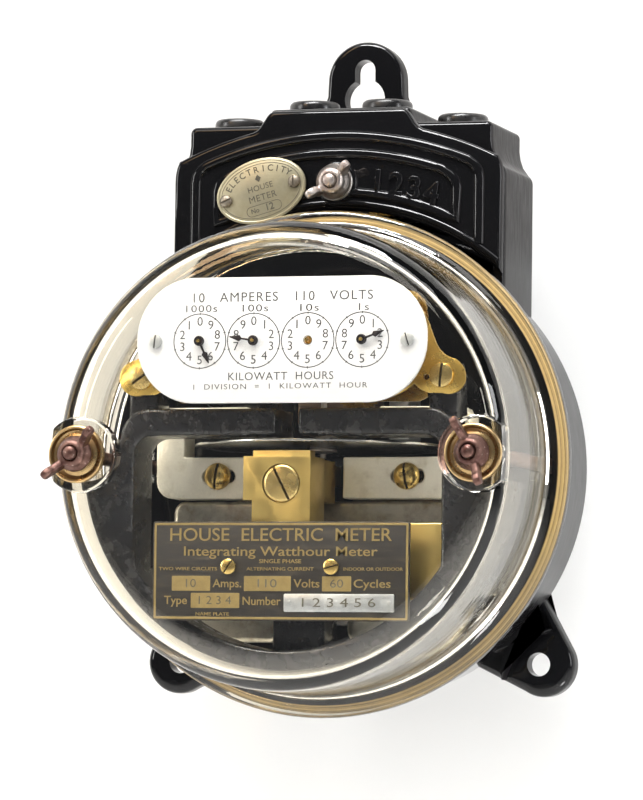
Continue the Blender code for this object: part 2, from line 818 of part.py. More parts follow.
def lid_outline():
    """Arched top with a raised tab, straight sides and a lower edge that follows the glass flange."""
    start = math.acos(LID_HALF / LID_EDGE_R)
    lower = arc(0, 0, LID_EDGE_R, math.pi / 2, start, 12)[1:]
    arch_z = LID_ARCH_TOP - LID_ARCH_R
    corner_x = LID_HALF - LID_CORNER
    corner_z = arch_z + math.sqrt(LID_ARCH_R**2 - corner_x**2)
    corner = [(LID_HALF, LID_SIDE_TOP), (LID_HALF - LID_CORNER * 0.35, corner_z - LID_CORNER * 0.55)]
    corner.append((corner_x, corner_z))
    from_turn = math.acos(corner_x / LID_ARCH_R)
    to_turn = math.acos(TAB_BASE_HALF / LID_ARCH_R)
    arch = arc(0, arch_z, LID_ARCH_R, from_turn, to_turn, 4)[1:]
    return mirrored(lower + corner + arch + [(TAB_HALF, TAB_TOP)])


def make_terminal_cover():
    seat = LID_STUD_Z
    hole = circle(STUD_R + 2 * GAP, centre=(0, seat))
    lid = flat("terminal_cover", [lid_outline(), hole], LID_BACK, LID_FRONT, BLACK_ENAMEL)
    make_stud("terminal_cover_stud", 0, seat, CASE_FLOOR + 0.002, LID_NUT_BACK + NUT_DEPTH + STUD_PAST_NUT)
    washer = [
        (WASHER_R, WASHER_THICK),
        (WASHER_R, 0),
        (STUD_R + RUNNING, 0),
        (STUD_R + RUNNING, WASHER_THICK),
    ]
    turned("terminal_cover_washer", washer, in_front(0, WASHER_BACK, seat), finish=STEEL, closed=True)
    make_wing_nut("terminal_cover_wing_nut", 0, seat, LID_NUT_BACK, LID_WING_TURN, LID_WING_REACH, STEEL)
    return lid


def make_number_tag():
    steps = 32
    turns = [2 * math.pi * step / steps for step in range(steps)]
    oval = [(TAG_LONG / 2 * math.cos(t), TAG_WIDE / 2 * math.sin(t)) for t in turns]
    flat(
        "number_tag",
        [oval],
        LID_FRONT + GAP,
        LID_FRONT + GAP + TAG_THICK,
        NICKEL,
        at=(TAG_X, TAG_Z),
        spin=TAG_TURN,
    )


def make_terminals():
    block = box(
        "terminal_block",
        (-BLOCK_HALF, CASE_FLOOR + GAP, BLOCK_LOW + 0.004),
        (BLOCK_HALF, BLOCK_FRONT, BLOCK_HIGH),
        HARD_RUBBER,
    )
    cut(block, front_hole("terminal_block_notch", LID_STUD_POST_R + GAP, 0, LID_STUD_Z, 0, 0.025))
    for number, x in enumerate(WIRE_X, 1):
        top = CROWN_TOP if abs(x) < CROWN_HALF else SHOULDER_TOP
        shank = top - CHAMBER_ROOF_UNDER + GAP
        profile = [
            (BUSHING_BORE_R, BUSHING_HEAD),
            (BUSHING_HEAD_R - 0.0012, BUSHING_HEAD),
            (BUSHING_HEAD_R, BUSHING_HEAD - 0.0012),
            (BUSHING_HEAD_R, 0),
            (BUSHING_SHANK_R, 0),
            (BUSHING_SHANK_R, -shank),
            (BUSHING_BORE_R, -shank),
        ]
        place = (x, -WIRE_DEPTH, top + GAP)
        turned(f"wire_bushing_{number}", profile, place, UPRIGHT, finish=HARD_RUBBER, closed=True)
        terminal = box(
            f"terminal_{number}",
            (x - TERMINAL_HALF, BLOCK_FRONT + GAP, TERMINAL_LOW),
            (x + TERMINAL_HALF, WIRE_DEPTH + TERMINAL_HALF, TERMINAL_HIGH),
            BRASS,
        )
        low = (x, -WIRE_DEPTH, TERMINAL_LOW - 0.001)
        bore = rod(f"terminal_bore_{number}", TERMINAL_BORE_R, low, 0.016, UPRIGHT)
        screw_head = rod(
            f"terminal_head_{number}",
            0.0030,
            in_front(x, WIRE_DEPTH + TERMINAL_HALF - 0.0015, TERMINAL_HIGH - 0.005),
            0.0035,
        )
        join(cut(terminal, bore), screw_head)


def loop_outline():
    """The outer edge of the frame: a round bottom that rises to a flat bar with rounded corners."""
    corner_r = 0.010
    end_z = BAR_TOP - corner_r
    side_turn = math.asin(-0.006 / LOOP_OUT_R)
    bottom = arc(0, 0, LOOP_OUT_R, -math.pi / 2, side_turn, 20)[1:]
    corner = arc(BAR_HALF - corner_r, end_z, corner_r, 0, math.pi / 2, 5)
    return mirrored(bottom + corner)


def window_outline():
    start = -math.pi / 2
    end = -math.acos(LOOP_IN_HALF / LOOP_IN_R)
    return mirrored(arc(0, 0, LOOP_IN_R, start, end, 10)[1:] + [(LOOP_IN_HALF, BAR_UNDER)])


def make_movement_frame():
    frame = flat("movement_frame", [loop_outline()], LOOP_BACK, LOOP_FRONT, BLACK_ENAMEL)
    cut(frame, flat("frame_window", [window_outline()], LOOP_BACK - 0.005, LOOP_FRONT + 0.005))
    half_gap = BAR_GAP / 2
    gap_low = (-half_gap, LOOP_BACK - 0.005, BAR_UNDER - 0.005)
    gap_high = (half_gap, LOOP_FRONT + 0.005, BAR_TOP + 0.005)
    cut(frame, box("frame_gap", gap_low, gap_high))
    for side, name in ((-1, "left"), (1, "right")):
        notch = front_hole(
            f"frame_notch_{name}", STUD_NOTCH_R, side * STUD_X, 0, LOOP_BACK - 0.005, LOOP_FRONT + 0.005, 24
        )
        cut(frame, notch)
        lug = box(
            f"frame_lug_{name}",
            (side * EAR_X - 0.0052, LOOP_BACK, BAR_TOP - 0.005),
            (side * EAR_X + 0.0052, REGISTER_FRONT - REGISTER_PLATE - GAP, EAR_Z + 0.0055),
        )
        low = REGISTER_FRONT - 0.009
        high = REGISTER_FRONT + 0.001
        screw_hole = front_hole(f"frame_screw_hole_{name}", EAR_HOLE_R, side * EAR_X, EAR_Z, low, high)
        cut(join(frame, lug), screw_hole)
        middle_r = (LOOP_IN_R + LOOP_OUT_R) / 2
        low_x = side * middle_r * math.cos(FRAME_POST_TURN)
        low_z = middle_r * math.sin(FRAME_POST_TURN)
        for word, x, z in (("upper", side * EAR_X, EAR_Z), ("lower", low_x, low_z)):
            back = CASE_FLOOR + GAP
            post = front_hole(f"frame_post_{word}_{name}", FRAME_POST_R, x, z, back, LOOP_BACK + 0.003, 16)
            join(frame, post)
        x = side * PLATE_SCREW_X
        back = STEM_FRONT - 0.004
        front = PLATE_FRONT - PLATE_THICK - GAP
        plate_post = front_hole(f"frame_plate_post_{name}", PLATE_POST_R, x, PLATE_SCREW_Z, back, front, 16)
        low = PLATE_FRONT - 0.008
        plate_hole = front_hole(
            f"frame_plate_hole_{name}", PLATE_POST_HOLE_R, x, PLATE_SCREW_Z, low, PLATE_FRONT, TINY_STEPS
        )
        cut(join(frame, plate_post), plate_hole)
    stem_low = -LOOP_IN_R - 0.003
    join(
        frame,
        box("frame_stem", (-STEM_HALF, STEM_BACK, stem_low), (STEM_HALF, STEM_FRONT, CROSS_HIGH)),
        box(
            "frame_cross",
            (-CROSS_HALF, STEM_BACK, CROSS_LOW),
            (CROSS_HALF, STEM_FRONT - GAP, CROSS_HIGH + GAP),
        ),
        box(
            "frame_column",
            (COLUMN_LEFT, COLUMN_BACK, BAR_UNDER + 0.002),
            (COLUMN_RIGHT, REGISTER_BACK - GAP, ARM_HIGH),
        ),
        box(
            "frame_arm",
            (COLUMN_LEFT + GAP, SPINDLE_DEPTH - 0.005, ARM_LOW),
            (0.0045, REGISTER_BACK - 2 * GAP, ARM_HIGH + GAP),
        ),
    )
    bore = rod("frame_bearing_bore", BEARING_R + GAP, (0, -SPINDLE_DEPTH, ARM_LOW - 0.004), 0.014, UPRIGHT)
    cut(frame, bore)
    return frame


def make_name_plate():
    holes = [circle(0.0018, TINY_STEPS, (side * PLATE_SCREW_X, PLATE_SCREW_Z)) for side in (-1, 1)]
    middle_z = (PLATE_LOW + PLATE_HIGH) / 2
    outline = rounded_box(PLATE_HALF, (PLATE_HIGH - PLATE_LOW) / 2, 0.0006, 2, (0, middle_z))
    flat("name_plate", [outline] + holes, PLATE_FRONT - PLATE_THICK, PLATE_FRONT, BLACK_PLATE)
    for side, name in ((-1, "left"), (1, "right")):
        slotted_screw(
            f"name_plate_screw_{name}", PLATE_SCREW_R, side * PLATE_SCREW_X, PLATE_SCREW_Z,
            PLATE_FRONT + GAP, 0.0013, BRASS, 0.0013, 0.0065
        )


def make_dial_plate():
    outline = rounded_box(DIAL_HALF, DIAL_TALL / 2, DIAL_CORNER_R, 10, (0, DIAL_Z + 0.0002))
    holes = [circle(SHAFT_R + 0.0006, TINY_STEPS, (x, DIAL_Z)) for x in DIAL_X]
    holes += [circle(0.0015, TINY_STEPS, (side * DIAL_SCREW_X, DIAL_Z)) for side in (-1, 1)]
    flat("dial_plate", [outline] + holes, DIAL_FRONT - DIAL_THICK, DIAL_FRONT, WHITE_ENAMEL)
    for side, name in ((-1, "left"), (1, "right")):
        slotted_screw(
            f"dial_screw_{name}", DIAL_SCREW_R, side * DIAL_SCREW_X, DIAL_Z,
            DIAL_FRONT + GAP, 0.0010, STEEL, 0.0011, 0.0050
        )


def register_outline(with_ears):
    half = REGISTER_HALF if with_ears else REGISTER_HALF - 0.0006
    corner = 0.003
    right = [(half - corner, REGISTER_LOW), (half, REGISTER_LOW + corner * 0.5)]
    if with_ears:
        ear_r = EAR_TALL * 0.4
        low = EAR_Z - EAR_TALL / 2
        high = EAR_Z + EAR_TALL / 2
        right += [(half, low)]
        right += arc(EAR_HALF - ear_r, low + ear_r, ear_r, -math.pi / 2, 0, 4)
        right += arc(EAR_HALF - ear_r, high - ear_r, ear_r, 0, math.pi / 2, 4)
        right += [(half, high)]
    right += [(half, REGISTER_HIGH - corner), (half - corner, REGISTER_HIGH)]
    return mirrored(right)


def make_register_frame():
    front_back = REGISTER_FRONT - REGISTER_PLATE
    back_front = REGISTER_BACK + REGISTER_PLATE
    front_plate = flat("register_front_plate", [register_outline(True)], front_back, REGISTER_FRONT, BRASS)
    back_plate = flat("register_back_plate", [register_outline(False)], REGISTER_BACK, back_front, BRASS)
    both = ((front_plate, front_back, REGISTER_FRONT), (back_plate, REGISTER_BACK, back_front))
    for x in DIAL_X:
        for plate, back, front in both:
            name = f"{plate.name}_pivot"
            low = back - CUT_PAST
            high = front + CUT_PAST
            cut(plate, front_hole(name, PIVOT_HOLE_R, x, DIAL_Z, low, high, TINY_STEPS))
    for side in (-1, 1):
        low = front_back - CUT_PAST
        high = REGISTER_FRONT + CUT_PAST
        cut(front_plate, front_hole("ear_hole", EAR_HOLE_R, side * EAR_X, EAR_Z, low, high, TINY_STEPS))
    for side, name in ((-1, "left"), (1, "right")):
        x = side * DIAL_SCREW_X
        post_front = DIAL_FRONT - DIAL_THICK - GAP
        back = REGISTER_FRONT - REGISTER_PLATE / 2
        post = front_hole(f"dial_post_{name}", DIAL_POST_R, x, DIAL_Z, back, post_front, 16)
        low = post_front - 0.006
        high = post_front + 0.001
        hole = front_hole(f"dial_post_hole_{name}", DIAL_POST_HOLE_R, x, DIAL_Z, low, high, TINY_STEPS)
        cut(join(front_plate, post), hole)
        slotted_screw(
            f"register_screw_{name}", EAR_SCREW_R, side * EAR_X, EAR_Z, REGISTER_FRONT + GAP, 0.0022, BRASS,
            EAR_HOLE_R - GAP, 0.0060
        )
    sleeve_back = SPINDLE_DEPTH + WORM_WHEEL_THICK / 2 + 0.0015
    sleeve_front = REGISTER_BACK + REGISTER_PLATE / 2
    sleeve = front_hole(
        "register_sleeve", SLEEVE_R, WORM_SHAFT_X, WORM_SHAFT_Z, sleeve_back, sleeve_front, 16
    )
    sleeve_bore = front_hole(
        "register_sleeve_bore", WORM_SHAFT_R + RUNNING, WORM_SHAFT_X, WORM_SHAFT_Z, sleeve_back - 0.002,
        back_front + 0.002, TINY_STEPS
    )
    cut(join(back_plate, sleeve), sleeve_bore)
    for name, side in (("left", -1), ("right", 1)):
        place = in_front(side * PILLAR_X, back_front + GAP, DIAL_Z + PILLAR_OFFSET_Z)
        length = front_back - back_front - 2 * GAP
        rod(f"register_pillar_{name}", PILLAR_R, place, length, steps=16, finish=BRASS)


def layer_depth(layer):
    return LAYER_ONE + layer * LAYER_PITCH


def fine_gear_outline(teeth, pitch_r, addendum, dedendum, tooth_at):
    """A gear with so many teeth that each is a plain wedge."""
    points = []
    for tooth in range(teeth):
        tip = tooth_at + tooth * 2 * math.pi / teeth
        valley = tip + math.pi / teeth
        points.append(((pitch_r + addendum) * math.cos(tip), (pitch_r + addendum) * math.sin(tip)))
        points.append(((pitch_r - dedendum) * math.cos(valley), (pitch_r - dedendum) * math.sin(valley)))
    return points


def make_wheel(name, x, z, depth, tooth_at):
    outline = fine_gear_outline(WHEEL_TEETH, WHEEL_PITCH_R, WHEEL_TOOTH_UP, WHEEL_TOOTH_DOWN, tooth_at)
    half = WHEEL_THICK / 2
    return flat(name, [outline], depth - half, depth + half, at=(x, z))


def make_pinion(name, x, z, depth, leaf_at):
    teeth = (PINION_TOOTH_UP, PINION_TOOTH_DOWN)
    outline = gear_outline(PINION_LEAVES, PINION_PITCH_R, *teeth, 0.40, 0.16, leaf_at)
    half = PINION_LONG / 2
    return flat(name, [outline], depth - half, depth + half, at=(x, z))


def make_dial_shafts():
    """Each shaft has the wheel that its faster neighbour drives and the pinion that drives its slower one."""
    half_leaf = math.pi / PINION_LEAVES
    for step, (x, value) in enumerate(zip(DIAL_X, (1000, 100, 10, 1))):
        layer = len(DIAL_X) - 1 - step
        back = REGISTER_BACK + GAP / 2
        tip = DIAL_FRONT + 0.0022
        shoulder = REGISTER_FRONT + 0.0010
        profile = [
            (0, tip - back),
            (SHAFT_TIP_R, tip - back),
            (SHAFT_TIP_R, shoulder + 0.004 - back),
            (SHAFT_R, shoulder + 0.004 - back),
            (SHAFT_R, 0),
            (0, 0),
        ]
        place = in_front(x, back, DIAL_Z)
        shaft = turned(f"dial_shaft_{value}", profile, place, steps=TINY_STEPS, finish=BRASS)
        if value > 1:
            towards = 0.0
        else:
            towards = math.atan2(WORM_SHAFT_Z - DIAL_Z, WORM_SHAFT_X - x)
        join(shaft, make_wheel(f"dial_wheel_{value}", x, DIAL_Z, layer_depth(layer), towards))
        if value < 1000:
            depth = layer_depth(layer + 1)
            pinion = make_pinion(f"dial_pinion_{value}", x, DIAL_Z, depth, math.pi + half_leaf)
            join(shaft, pinion)


def make_worm_shaft():
    """The wheel that the spindle's worm drives, with the pinion that drives the first dial."""
    back = SPINDLE_DEPTH - WORM_WHEEL_THICK / 2 - 0.0010
    front = layer_depth(0) + PINION_LONG / 2
    shaft = rod(
        "worm_wheel_shaft", WORM_SHAFT_R, in_front(WORM_SHAFT_X, back, WORM_SHAFT_Z), front - back + 0.0001,
        steps=TINY_STEPS, finish=BRASS
    )
    half_tooth = math.pi / WORM_TEETH
    teeth = (WORM_WHEEL_TOOTH_UP, WORM_WHEEL_TOOTH_DOWN)
    outline = fine_gear_outline(WORM_TEETH, WORM_WHEEL_R, *teeth, math.pi + half_tooth)
    half = WORM_WHEEL_THICK / 2
    at = (WORM_SHAFT_X, WORM_SHAFT_Z)
    join(shaft, flat("worm_wheel", [outline], SPINDLE_DEPTH - half, SPINDLE_DEPTH + half, at=at))
    towards = math.atan2(DIAL_Z - WORM_SHAFT_Z, DIAL_X[3] - WORM_SHAFT_X)
    join(shaft, make_pinion("worm_pinion", *at, layer_depth(0), towards + math.pi / PINION_LEAVES))


def make_pointers():
    for (name, reading), x in zip(POINTER_READINGS.items(), (DIAL_X[0], DIAL_X[1], DIAL_X[3])):
        hub = arc(0, 0, POINTER_HUB_R, math.radians(22), math.radians(338), 14)
        hand = [(POINTER_REACH * 0.62, -0.00042), (POINTER_REACH, -0.00010)]
        hand += [(POINTER_REACH, 0.00010), (POINTER_REACH * 0.62, 0.00042)]
        hole = circle(SHAFT_TIP_R + 0.0002, TINY_STEPS)
        back = DIAL_FRONT + 0.0008
        turn = math.radians(90 - 36 * reading)
        flat(name, [hub + hand, hole], back, back + POINTER_THICK, BLUED_STEEL, at=(x, DIAL_Z), spin=turn)


def make_worm_thread():
    """A right-hand thread on the spindle, one turn a tooth of the wheel, level with the wheel's axis."""
    lead = math.pi * WORM_MODULE
    turns = 6
    steps = 10
    mesh = bpy.data.meshes.new("worm_thread")
    shape = bmesh.new()
    start = WORM_SHAFT_Z - turns / 2 * lead
    inner = WORM_PITCH_R - 0.00085
    outer = WORM_PITCH_R + 0.00035
    section = [(inner, -0.00045), (outer, 0), (inner, 0.00045)]
    corners = [shape.verts.new((radius, 0, start + up)) for radius, up in section]
    face = shape.faces.new(corners)
    bmesh.ops.spin(
        shape,
        geom=[face, *face.edges, *face.verts],
        cent=(0, 0, 0),
        axis=(0, 0, 1),
        dvec=(0, 0, lead / steps),
        angle=2 * math.pi * turns,
        steps=steps * turns,
    )
    bmesh.ops.holes_fill(shape, edges=shape.edges, sides=0)
    bmesh.ops.recalc_face_normals(shape, faces=shape.faces)
    shape.to_mesh(mesh)
    shape.free()
    return add_object("worm_thread", mesh, in_front(0, SPINDLE_DEPTH, 0))


def make_disc_and_spindle():
    hub_top = DISC_Z + DISC_THICK / 2 + GAP
    hub_under = DISC_Z - DISC_THICK / 2 - GAP
    core = WORM_PITCH_R - 0.00060
    half_worm = WORM_LONG / 2 + 0.0005
    top = ARM_LOW - 0.0010
    profile = [
        (0, top + PIVOT_LONG),
        (PIVOT_R, top + PIVOT_LONG),
        (PIVOT_R, top),
        (SPINDLE_R, top),
        (SPINDLE_R, WORM_SHAFT_Z + half_worm + 0.0005),
        (core, WORM_SHAFT_Z + half_worm),
        (core, WORM_SHAFT_Z - half_worm),
        (SPINDLE_R, WORM_SHAFT_Z - half_worm - 0.0005),
        (SPINDLE_R, hub_top + 0.0030),
        (HUB_R * 0.6, hub_top + 0.0022),
        (HUB_R * 0.8, hub_top),
        (DISC_HOLE_R - GAP, hub_top),
        (DISC_HOLE_R - GAP, hub_under),
        (HUB_R, hub_under),
        (HUB_R, hub_under - 0.0008),
        (SPINDLE_R, hub_under - 0.0016),
        (SPINDLE_R, SPINDLE_FOOT_Z + 0.0016),
        (PIVOT_R, SPINDLE_FOOT_Z + 0.0014),
        (PIVOT_R, SPINDLE_FOOT_Z),
        (0, SPINDLE_FOOT_Z),
    ]
    spindle = turned("spindle", profile, in_front(0, SPINDLE_DEPTH, 0), UPRIGHT, steps=16, finish=STEEL)
    join(spindle, make_worm_thread())
    half = DISC_THICK / 2
    ring = [(DISC_R, half), (DISC_R, -half), (DISC_HOLE_R, -half), (DISC_HOLE_R, half)]
    turned("disc", ring, in_front(0, SPINDLE_DEPTH, DISC_Z), UPRIGHT, ROUND_STEPS, ALUMINIUM, closed=True)


def make_bearings():
    hole = PIVOT_R + RUNNING
    upper_low = ARM_LOW - 0.0004
    upper_high = ARM_HIGH + 0.0012
    profile = [
        (0, upper_high),
        (BEARING_R, upper_high),
        (BEARING_R, upper_low),
        (hole, upper_low),
        (hole, upper_low + 0.0024),
        (0, upper_low + 0.0024),
    ]
    turned("upper_bearing", profile, in_front(0, SPINDLE_DEPTH, 0), UPRIGHT, steps=16, finish=BRASS)
    lower_high = SPINDLE_FOOT_Z + 0.0008
    lower_low = BLOCK_ARM_LOW - 0.0015
    profile = [
        (0, SPINDLE_FOOT_Z - GAP),
        (hole, SPINDLE_FOOT_Z - GAP),
        (hole, lower_high),
        (BEARING_R, lower_high),
        (BEARING_R, lower_low),
        (0, lower_low),
    ]
    turned("lower_bearing", profile, in_front(0, SPINDLE_DEPTH, 0), UPRIGHT, steps=16, finish=STEEL)


def make_bearing_block():
    leg_back = STEM_FRONT + GAP
    outline = [
        (BLOCK_LEFT, BLOCK_TOP),
        (BLOCK_LEFT, BLOCK_STEP),
        (BLOCK_LEG_LEFT, BLOCK_STEP),
        (BLOCK_LEG_LEFT, BLOCK_LEG_LOW),
        (BLOCK_RIGHT, BLOCK_LEG_LOW),
        (BLOCK_RIGHT, BLOCK_TOP),
    ]
    block = flat("bearing_block", [outline], leg_back, LOOP_FRONT, BRASS)
    join(
        block,
        box(
            "block_body",
            (BLOCK_LEFT + GAP, BLOCK_BACK, BLOCK_STEP + GAP),
            (BLOCK_RIGHT - GAP, leg_back + 0.002, BLOCK_TOP - GAP),
        ),
        box(
            "block_arm",
            (-BLOCK_ARM_HALF, SPINDLE_DEPTH - 0.0055, BLOCK_ARM_LOW),
            (BLOCK_ARM_HALF, BLOCK_BACK + 0.002, BLOCK_ARM_HIGH),
        ),
        box(
            "block_cap",
            (BLOCK_LEG_LEFT, LOOP_FRONT - 0.007, BLOCK_TOP - 0.001),
            (BLOCK_RIGHT - 0.0005, LOOP_FRONT - 0.001, BLOCK_TOP + BLOCK_CAP),
        ),
    )
    screw_seat = LOOP_FRONT - BLOCK_SCREW_DEEP
    cut(
        block,
        rod("block_bore", BEARING_R + GAP, in_front(0, SPINDLE_DEPTH, BLOCK_ARM_LOW - CUT_PAST), 0.011, UPRIGHT),
        front_hole(
            "block_counterbore", BLOCK_SCREW_R + GAP, BLOCK_SCREW_X, BLOCK_SCREW_Z,
            screw_seat, LOOP_FRONT + CUT_PAST, 32
        ),
        front_hole(
            "block_screw_hole", BLOCK_SCREW_HOLE_R, BLOCK_SCREW_X, BLOCK_SCREW_Z, screw_seat - 0.008, LOOP_FRONT, 16
        ),
    )
    slotted_screw(
        "bearing_block_screw", BLOCK_SCREW_R, BLOCK_SCREW_X, BLOCK_SCREW_Z, screw_seat + GAP,
        BLOCK_SCREW_DEEP, BRASS, 0.0021, 0.0070
    )


def magnet_outline(side):
    corner_x = MAGNET_OUT - MAGNET_CORNER_R
    corner_z = MAGNET_LOW + MAGNET_CORNER_R
    low_corner = arc(corner_x, corner_z, MAGNET_CORNER_R, -math.pi / 2, 0, 5)
    points = [(MAGNET_IN, MAGNET_POLE_UNDER), (MAGNET_IN, MAGNET_LOW)]
    points += low_corner
    points += [
        (MAGNET_OUT, MAGNET_HIGH - 0.003),
        (MAGNET_OUT - 0.003, MAGNET_HIGH),
        (MAGNET_POLE_IN, MAGNET_HIGH),
        (MAGNET_POLE_IN, MAGNET_POLE_OVER),
        (MAGNET_SPINE, MAGNET_POLE_OVER),
        (MAGNET_SPINE, MAGNET_POLE_UNDER),
    ]
    return [(side * x, z) for x, z in points]


def make_brake_magnets():
    for side, name in ((-1, "left"), (1, "right")):
        x = side * MAGNET_SCREW_X
        reach = MAGNET_SLOT_HALF - MAGNET_SLOT_R
        slot = arc(x + reach, MAGNET_SCREW_Z, MAGNET_SLOT_R, -math.pi / 2, math.pi / 2, 6)
        slot += arc(x - reach, MAGNET_SCREW_Z, MAGNET_SLOT_R, math.pi / 2, 3 * math.pi / 2, 6)
        flat(f"brake_magnet_{name}", [magnet_outline(side), slot], MAGNET_BACK, MAGNET_FRONT, NICKEL)
        head = 0.0036
        shank = MAGNET_FRONT - MAGNET_BACK
        profile = [
            (0, head),
            (MAGNET_SCREW_R * 0.45, head * 0.94),
            (MAGNET_SCREW_R * 0.80, head * 0.68),
            (MAGNET_SCREW_R, head * 0.20),
            (MAGNET_SCREW_R, 0),
            (MAGNET_SLOT_R - GAP, 0),
            (MAGNET_SLOT_R - GAP, -shank),
            (0, -shank),
        ]
        screw_name = f"brake_magnet_screw_{name}"
        place = in_front(x, MAGNET_FRONT + GAP, MAGNET_SCREW_Z)
        screw = turned(screw_name, profile, place, steps=24, finish=BRASS)
        slot_cut = box(
            screw_name + "_slot",
            (x - 0.0005, MAGNET_FRONT + head * 0.62, MAGNET_SCREW_Z - 0.006),
            (x + 0.0005, MAGNET_FRONT + head + 0.003, MAGNET_SCREW_Z + 0.006),
        )
        cut(screw, slot_cut)


def make_coil_shield():
    low_r = SHIELD_CORNER_R
    in_r = 0.004
    right = [(SHIELD_IN, SHIELD_TOP - SHIELD_BRIDGE)]
    right += arc(SHIELD_IN + in_r, SHIELD_LOW + in_r, in_r, math.pi, 3 * math.pi / 2, 4)
    right += arc(SHIELD_OUT - low_r, SHIELD_LOW + low_r, low_r, -math.pi / 2, 0, 8)
    right += arc(SHIELD_OUT - in_r, SHIELD_TOP - in_r, in_r, 0, math.pi / 2, 4)
    flat("coil_shield", [mirrored(right)], SHIELD_BACK, SHIELD_BACK + SHIELD_THICK, NICKEL)


def make_electromagnets():
    limb_in = CURRENT_LIMB_X - CORE_LIMB / 2
    limb_out = CURRENT_LIMB_X + CORE_LIMB / 2
    yoke_top = CURRENT_CORE_LOW + CORE_YOKE
    right = [
        (limb_out, CURRENT_CORE_LOW),
        (limb_out, CURRENT_POLE_TOP),
        (limb_in, CURRENT_POLE_TOP),
        (limb_in, yoke_top),
    ]
    flat("current_core", [mirrored(right)], CORE_BACK, CORE_FRONT, IRON)
    half = CORE_LIMB / 2
    yoke_under = POTENTIAL_CORE_TOP - CORE_YOKE
    inner = POTENTIAL_HALF - POTENTIAL_RETURN
    right = [
        (half, POTENTIAL_POLE),
        (half, yoke_under),
        (inner, yoke_under),
        (inner, POTENTIAL_POLE),
        (POTENTIAL_HALF, POTENTIAL_POLE),
        (POTENTIAL_HALF, POTENTIAL_CORE_TOP),
    ]
    flat("potential_core", [mirrored(right)], CORE_BACK, CORE_FRONT, IRON)
    middle = (CORE_BACK + CORE_FRONT) / 2
    coils = (
        ("potential_coil", 0, POTENTIAL_COIL_WALL, POTENTIAL_COIL_LOW, POTENTIAL_COIL_HIGH),
        ("current_coil_left", -CURRENT_LIMB_X, CURRENT_COIL_WALL, CURRENT_COIL_LOW, CURRENT_COIL_HIGH),
        ("current_coil_right", CURRENT_LIMB_X, CURRENT_COIL_WALL, CURRENT_COIL_LOW, CURRENT_COIL_HIGH),
    )
    for name, x, wall, low, high in coils:
        room_x = half + GAP
        room_depth = (CORE_FRONT - CORE_BACK) / 2 + GAP
        outer = rounded_box(room_x + wall, room_depth + wall, COIL_ROUND, 4, (x, middle))
        room = [
            (x + room_x, middle + room_depth),
            (x - room_x, middle + room_depth),
            (x - room_x, middle - room_depth),
            (x + room_x, middle - room_depth),
        ]
        standing(name, [outer, room], low, high, COPPER_TAPE)


def make_all():
    make_case()
    make_gasket()
    make_glass_cover()
    stud_front = NUT_BACK + NUT_DEPTH + STUD_PAST_NUT
    for side, name in ((-1, "left"), (1, "right")):
        x = side * STUD_X
        turn = LEFT_WING_TURN if side < 0 else RIGHT_WING_TURN
        make_stud(f"cover_stud_{name}", x, 0, STUD_HOLE_DEPTH + GAP, stud_front)
        make_cup(f"cover_cup_{name}", x)
        make_wing_nut(f"cover_wing_nut_{name}", x, 0, NUT_BACK, turn, WING_REACH, OLD_BRONZE)
    make_terminal_cover()
    make_number_tag()
    make_terminals()
    make_movement_frame()
    make_name_plate()
    make_dial_plate()
    make_register_frame()
    make_dial_shafts()
    make_worm_shaft()
    make_pointers()
    make_disc_and_spindle()
    make_bearings()
    make_bearing_block()
    make_brake_magnets()
    make_coil_shield()
    make_electromagnets()


make_all()
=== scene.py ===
import json
import math

import bmesh
import bpy
from mathutils import Matrix, Vector

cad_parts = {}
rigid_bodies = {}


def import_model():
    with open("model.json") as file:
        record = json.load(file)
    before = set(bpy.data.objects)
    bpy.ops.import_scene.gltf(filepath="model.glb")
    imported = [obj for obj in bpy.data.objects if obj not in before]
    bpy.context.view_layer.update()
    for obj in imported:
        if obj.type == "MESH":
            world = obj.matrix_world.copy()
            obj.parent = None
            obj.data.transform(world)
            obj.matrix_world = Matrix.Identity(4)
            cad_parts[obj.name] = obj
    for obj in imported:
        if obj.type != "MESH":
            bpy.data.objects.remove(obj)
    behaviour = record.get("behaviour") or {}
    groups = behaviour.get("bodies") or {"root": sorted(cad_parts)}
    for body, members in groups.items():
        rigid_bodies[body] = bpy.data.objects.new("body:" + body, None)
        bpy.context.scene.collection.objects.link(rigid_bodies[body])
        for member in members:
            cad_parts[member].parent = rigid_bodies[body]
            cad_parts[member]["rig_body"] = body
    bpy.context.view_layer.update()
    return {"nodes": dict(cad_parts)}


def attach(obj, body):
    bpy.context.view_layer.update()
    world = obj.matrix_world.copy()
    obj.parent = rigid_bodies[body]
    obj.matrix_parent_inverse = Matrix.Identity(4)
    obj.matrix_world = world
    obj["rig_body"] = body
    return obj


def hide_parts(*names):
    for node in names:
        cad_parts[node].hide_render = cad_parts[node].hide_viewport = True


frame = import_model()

mm = 0.001
scene = bpy.context.scene

view = {
    "yaw": 17.0,
    "pitch": -3.99,
    "roll": 0.78,
    "away": 1799.27,
    "across": -15.87,
    "up": 25.91,
    "lens": 225,
}
studio = {
    "world": (0.30, 0.31, 0.33),
    "worldStrength": 0.42,
    "floorAt": -420,
    "wallAt": 45,
    "sweep": 120,
    "paint": (0.93, 0.93, 0.92),
}


def aimed(lookFrom, lookAt):
    away = (Vector(lookFrom) - Vector(lookAt)).normalized()
    right = Vector((0, 0, 1)).cross(away).normalized()
    turn = Matrix((right, away.cross(right), away)).transposed().to_4x4()
    return Matrix.Translation(lookFrom) @ turn


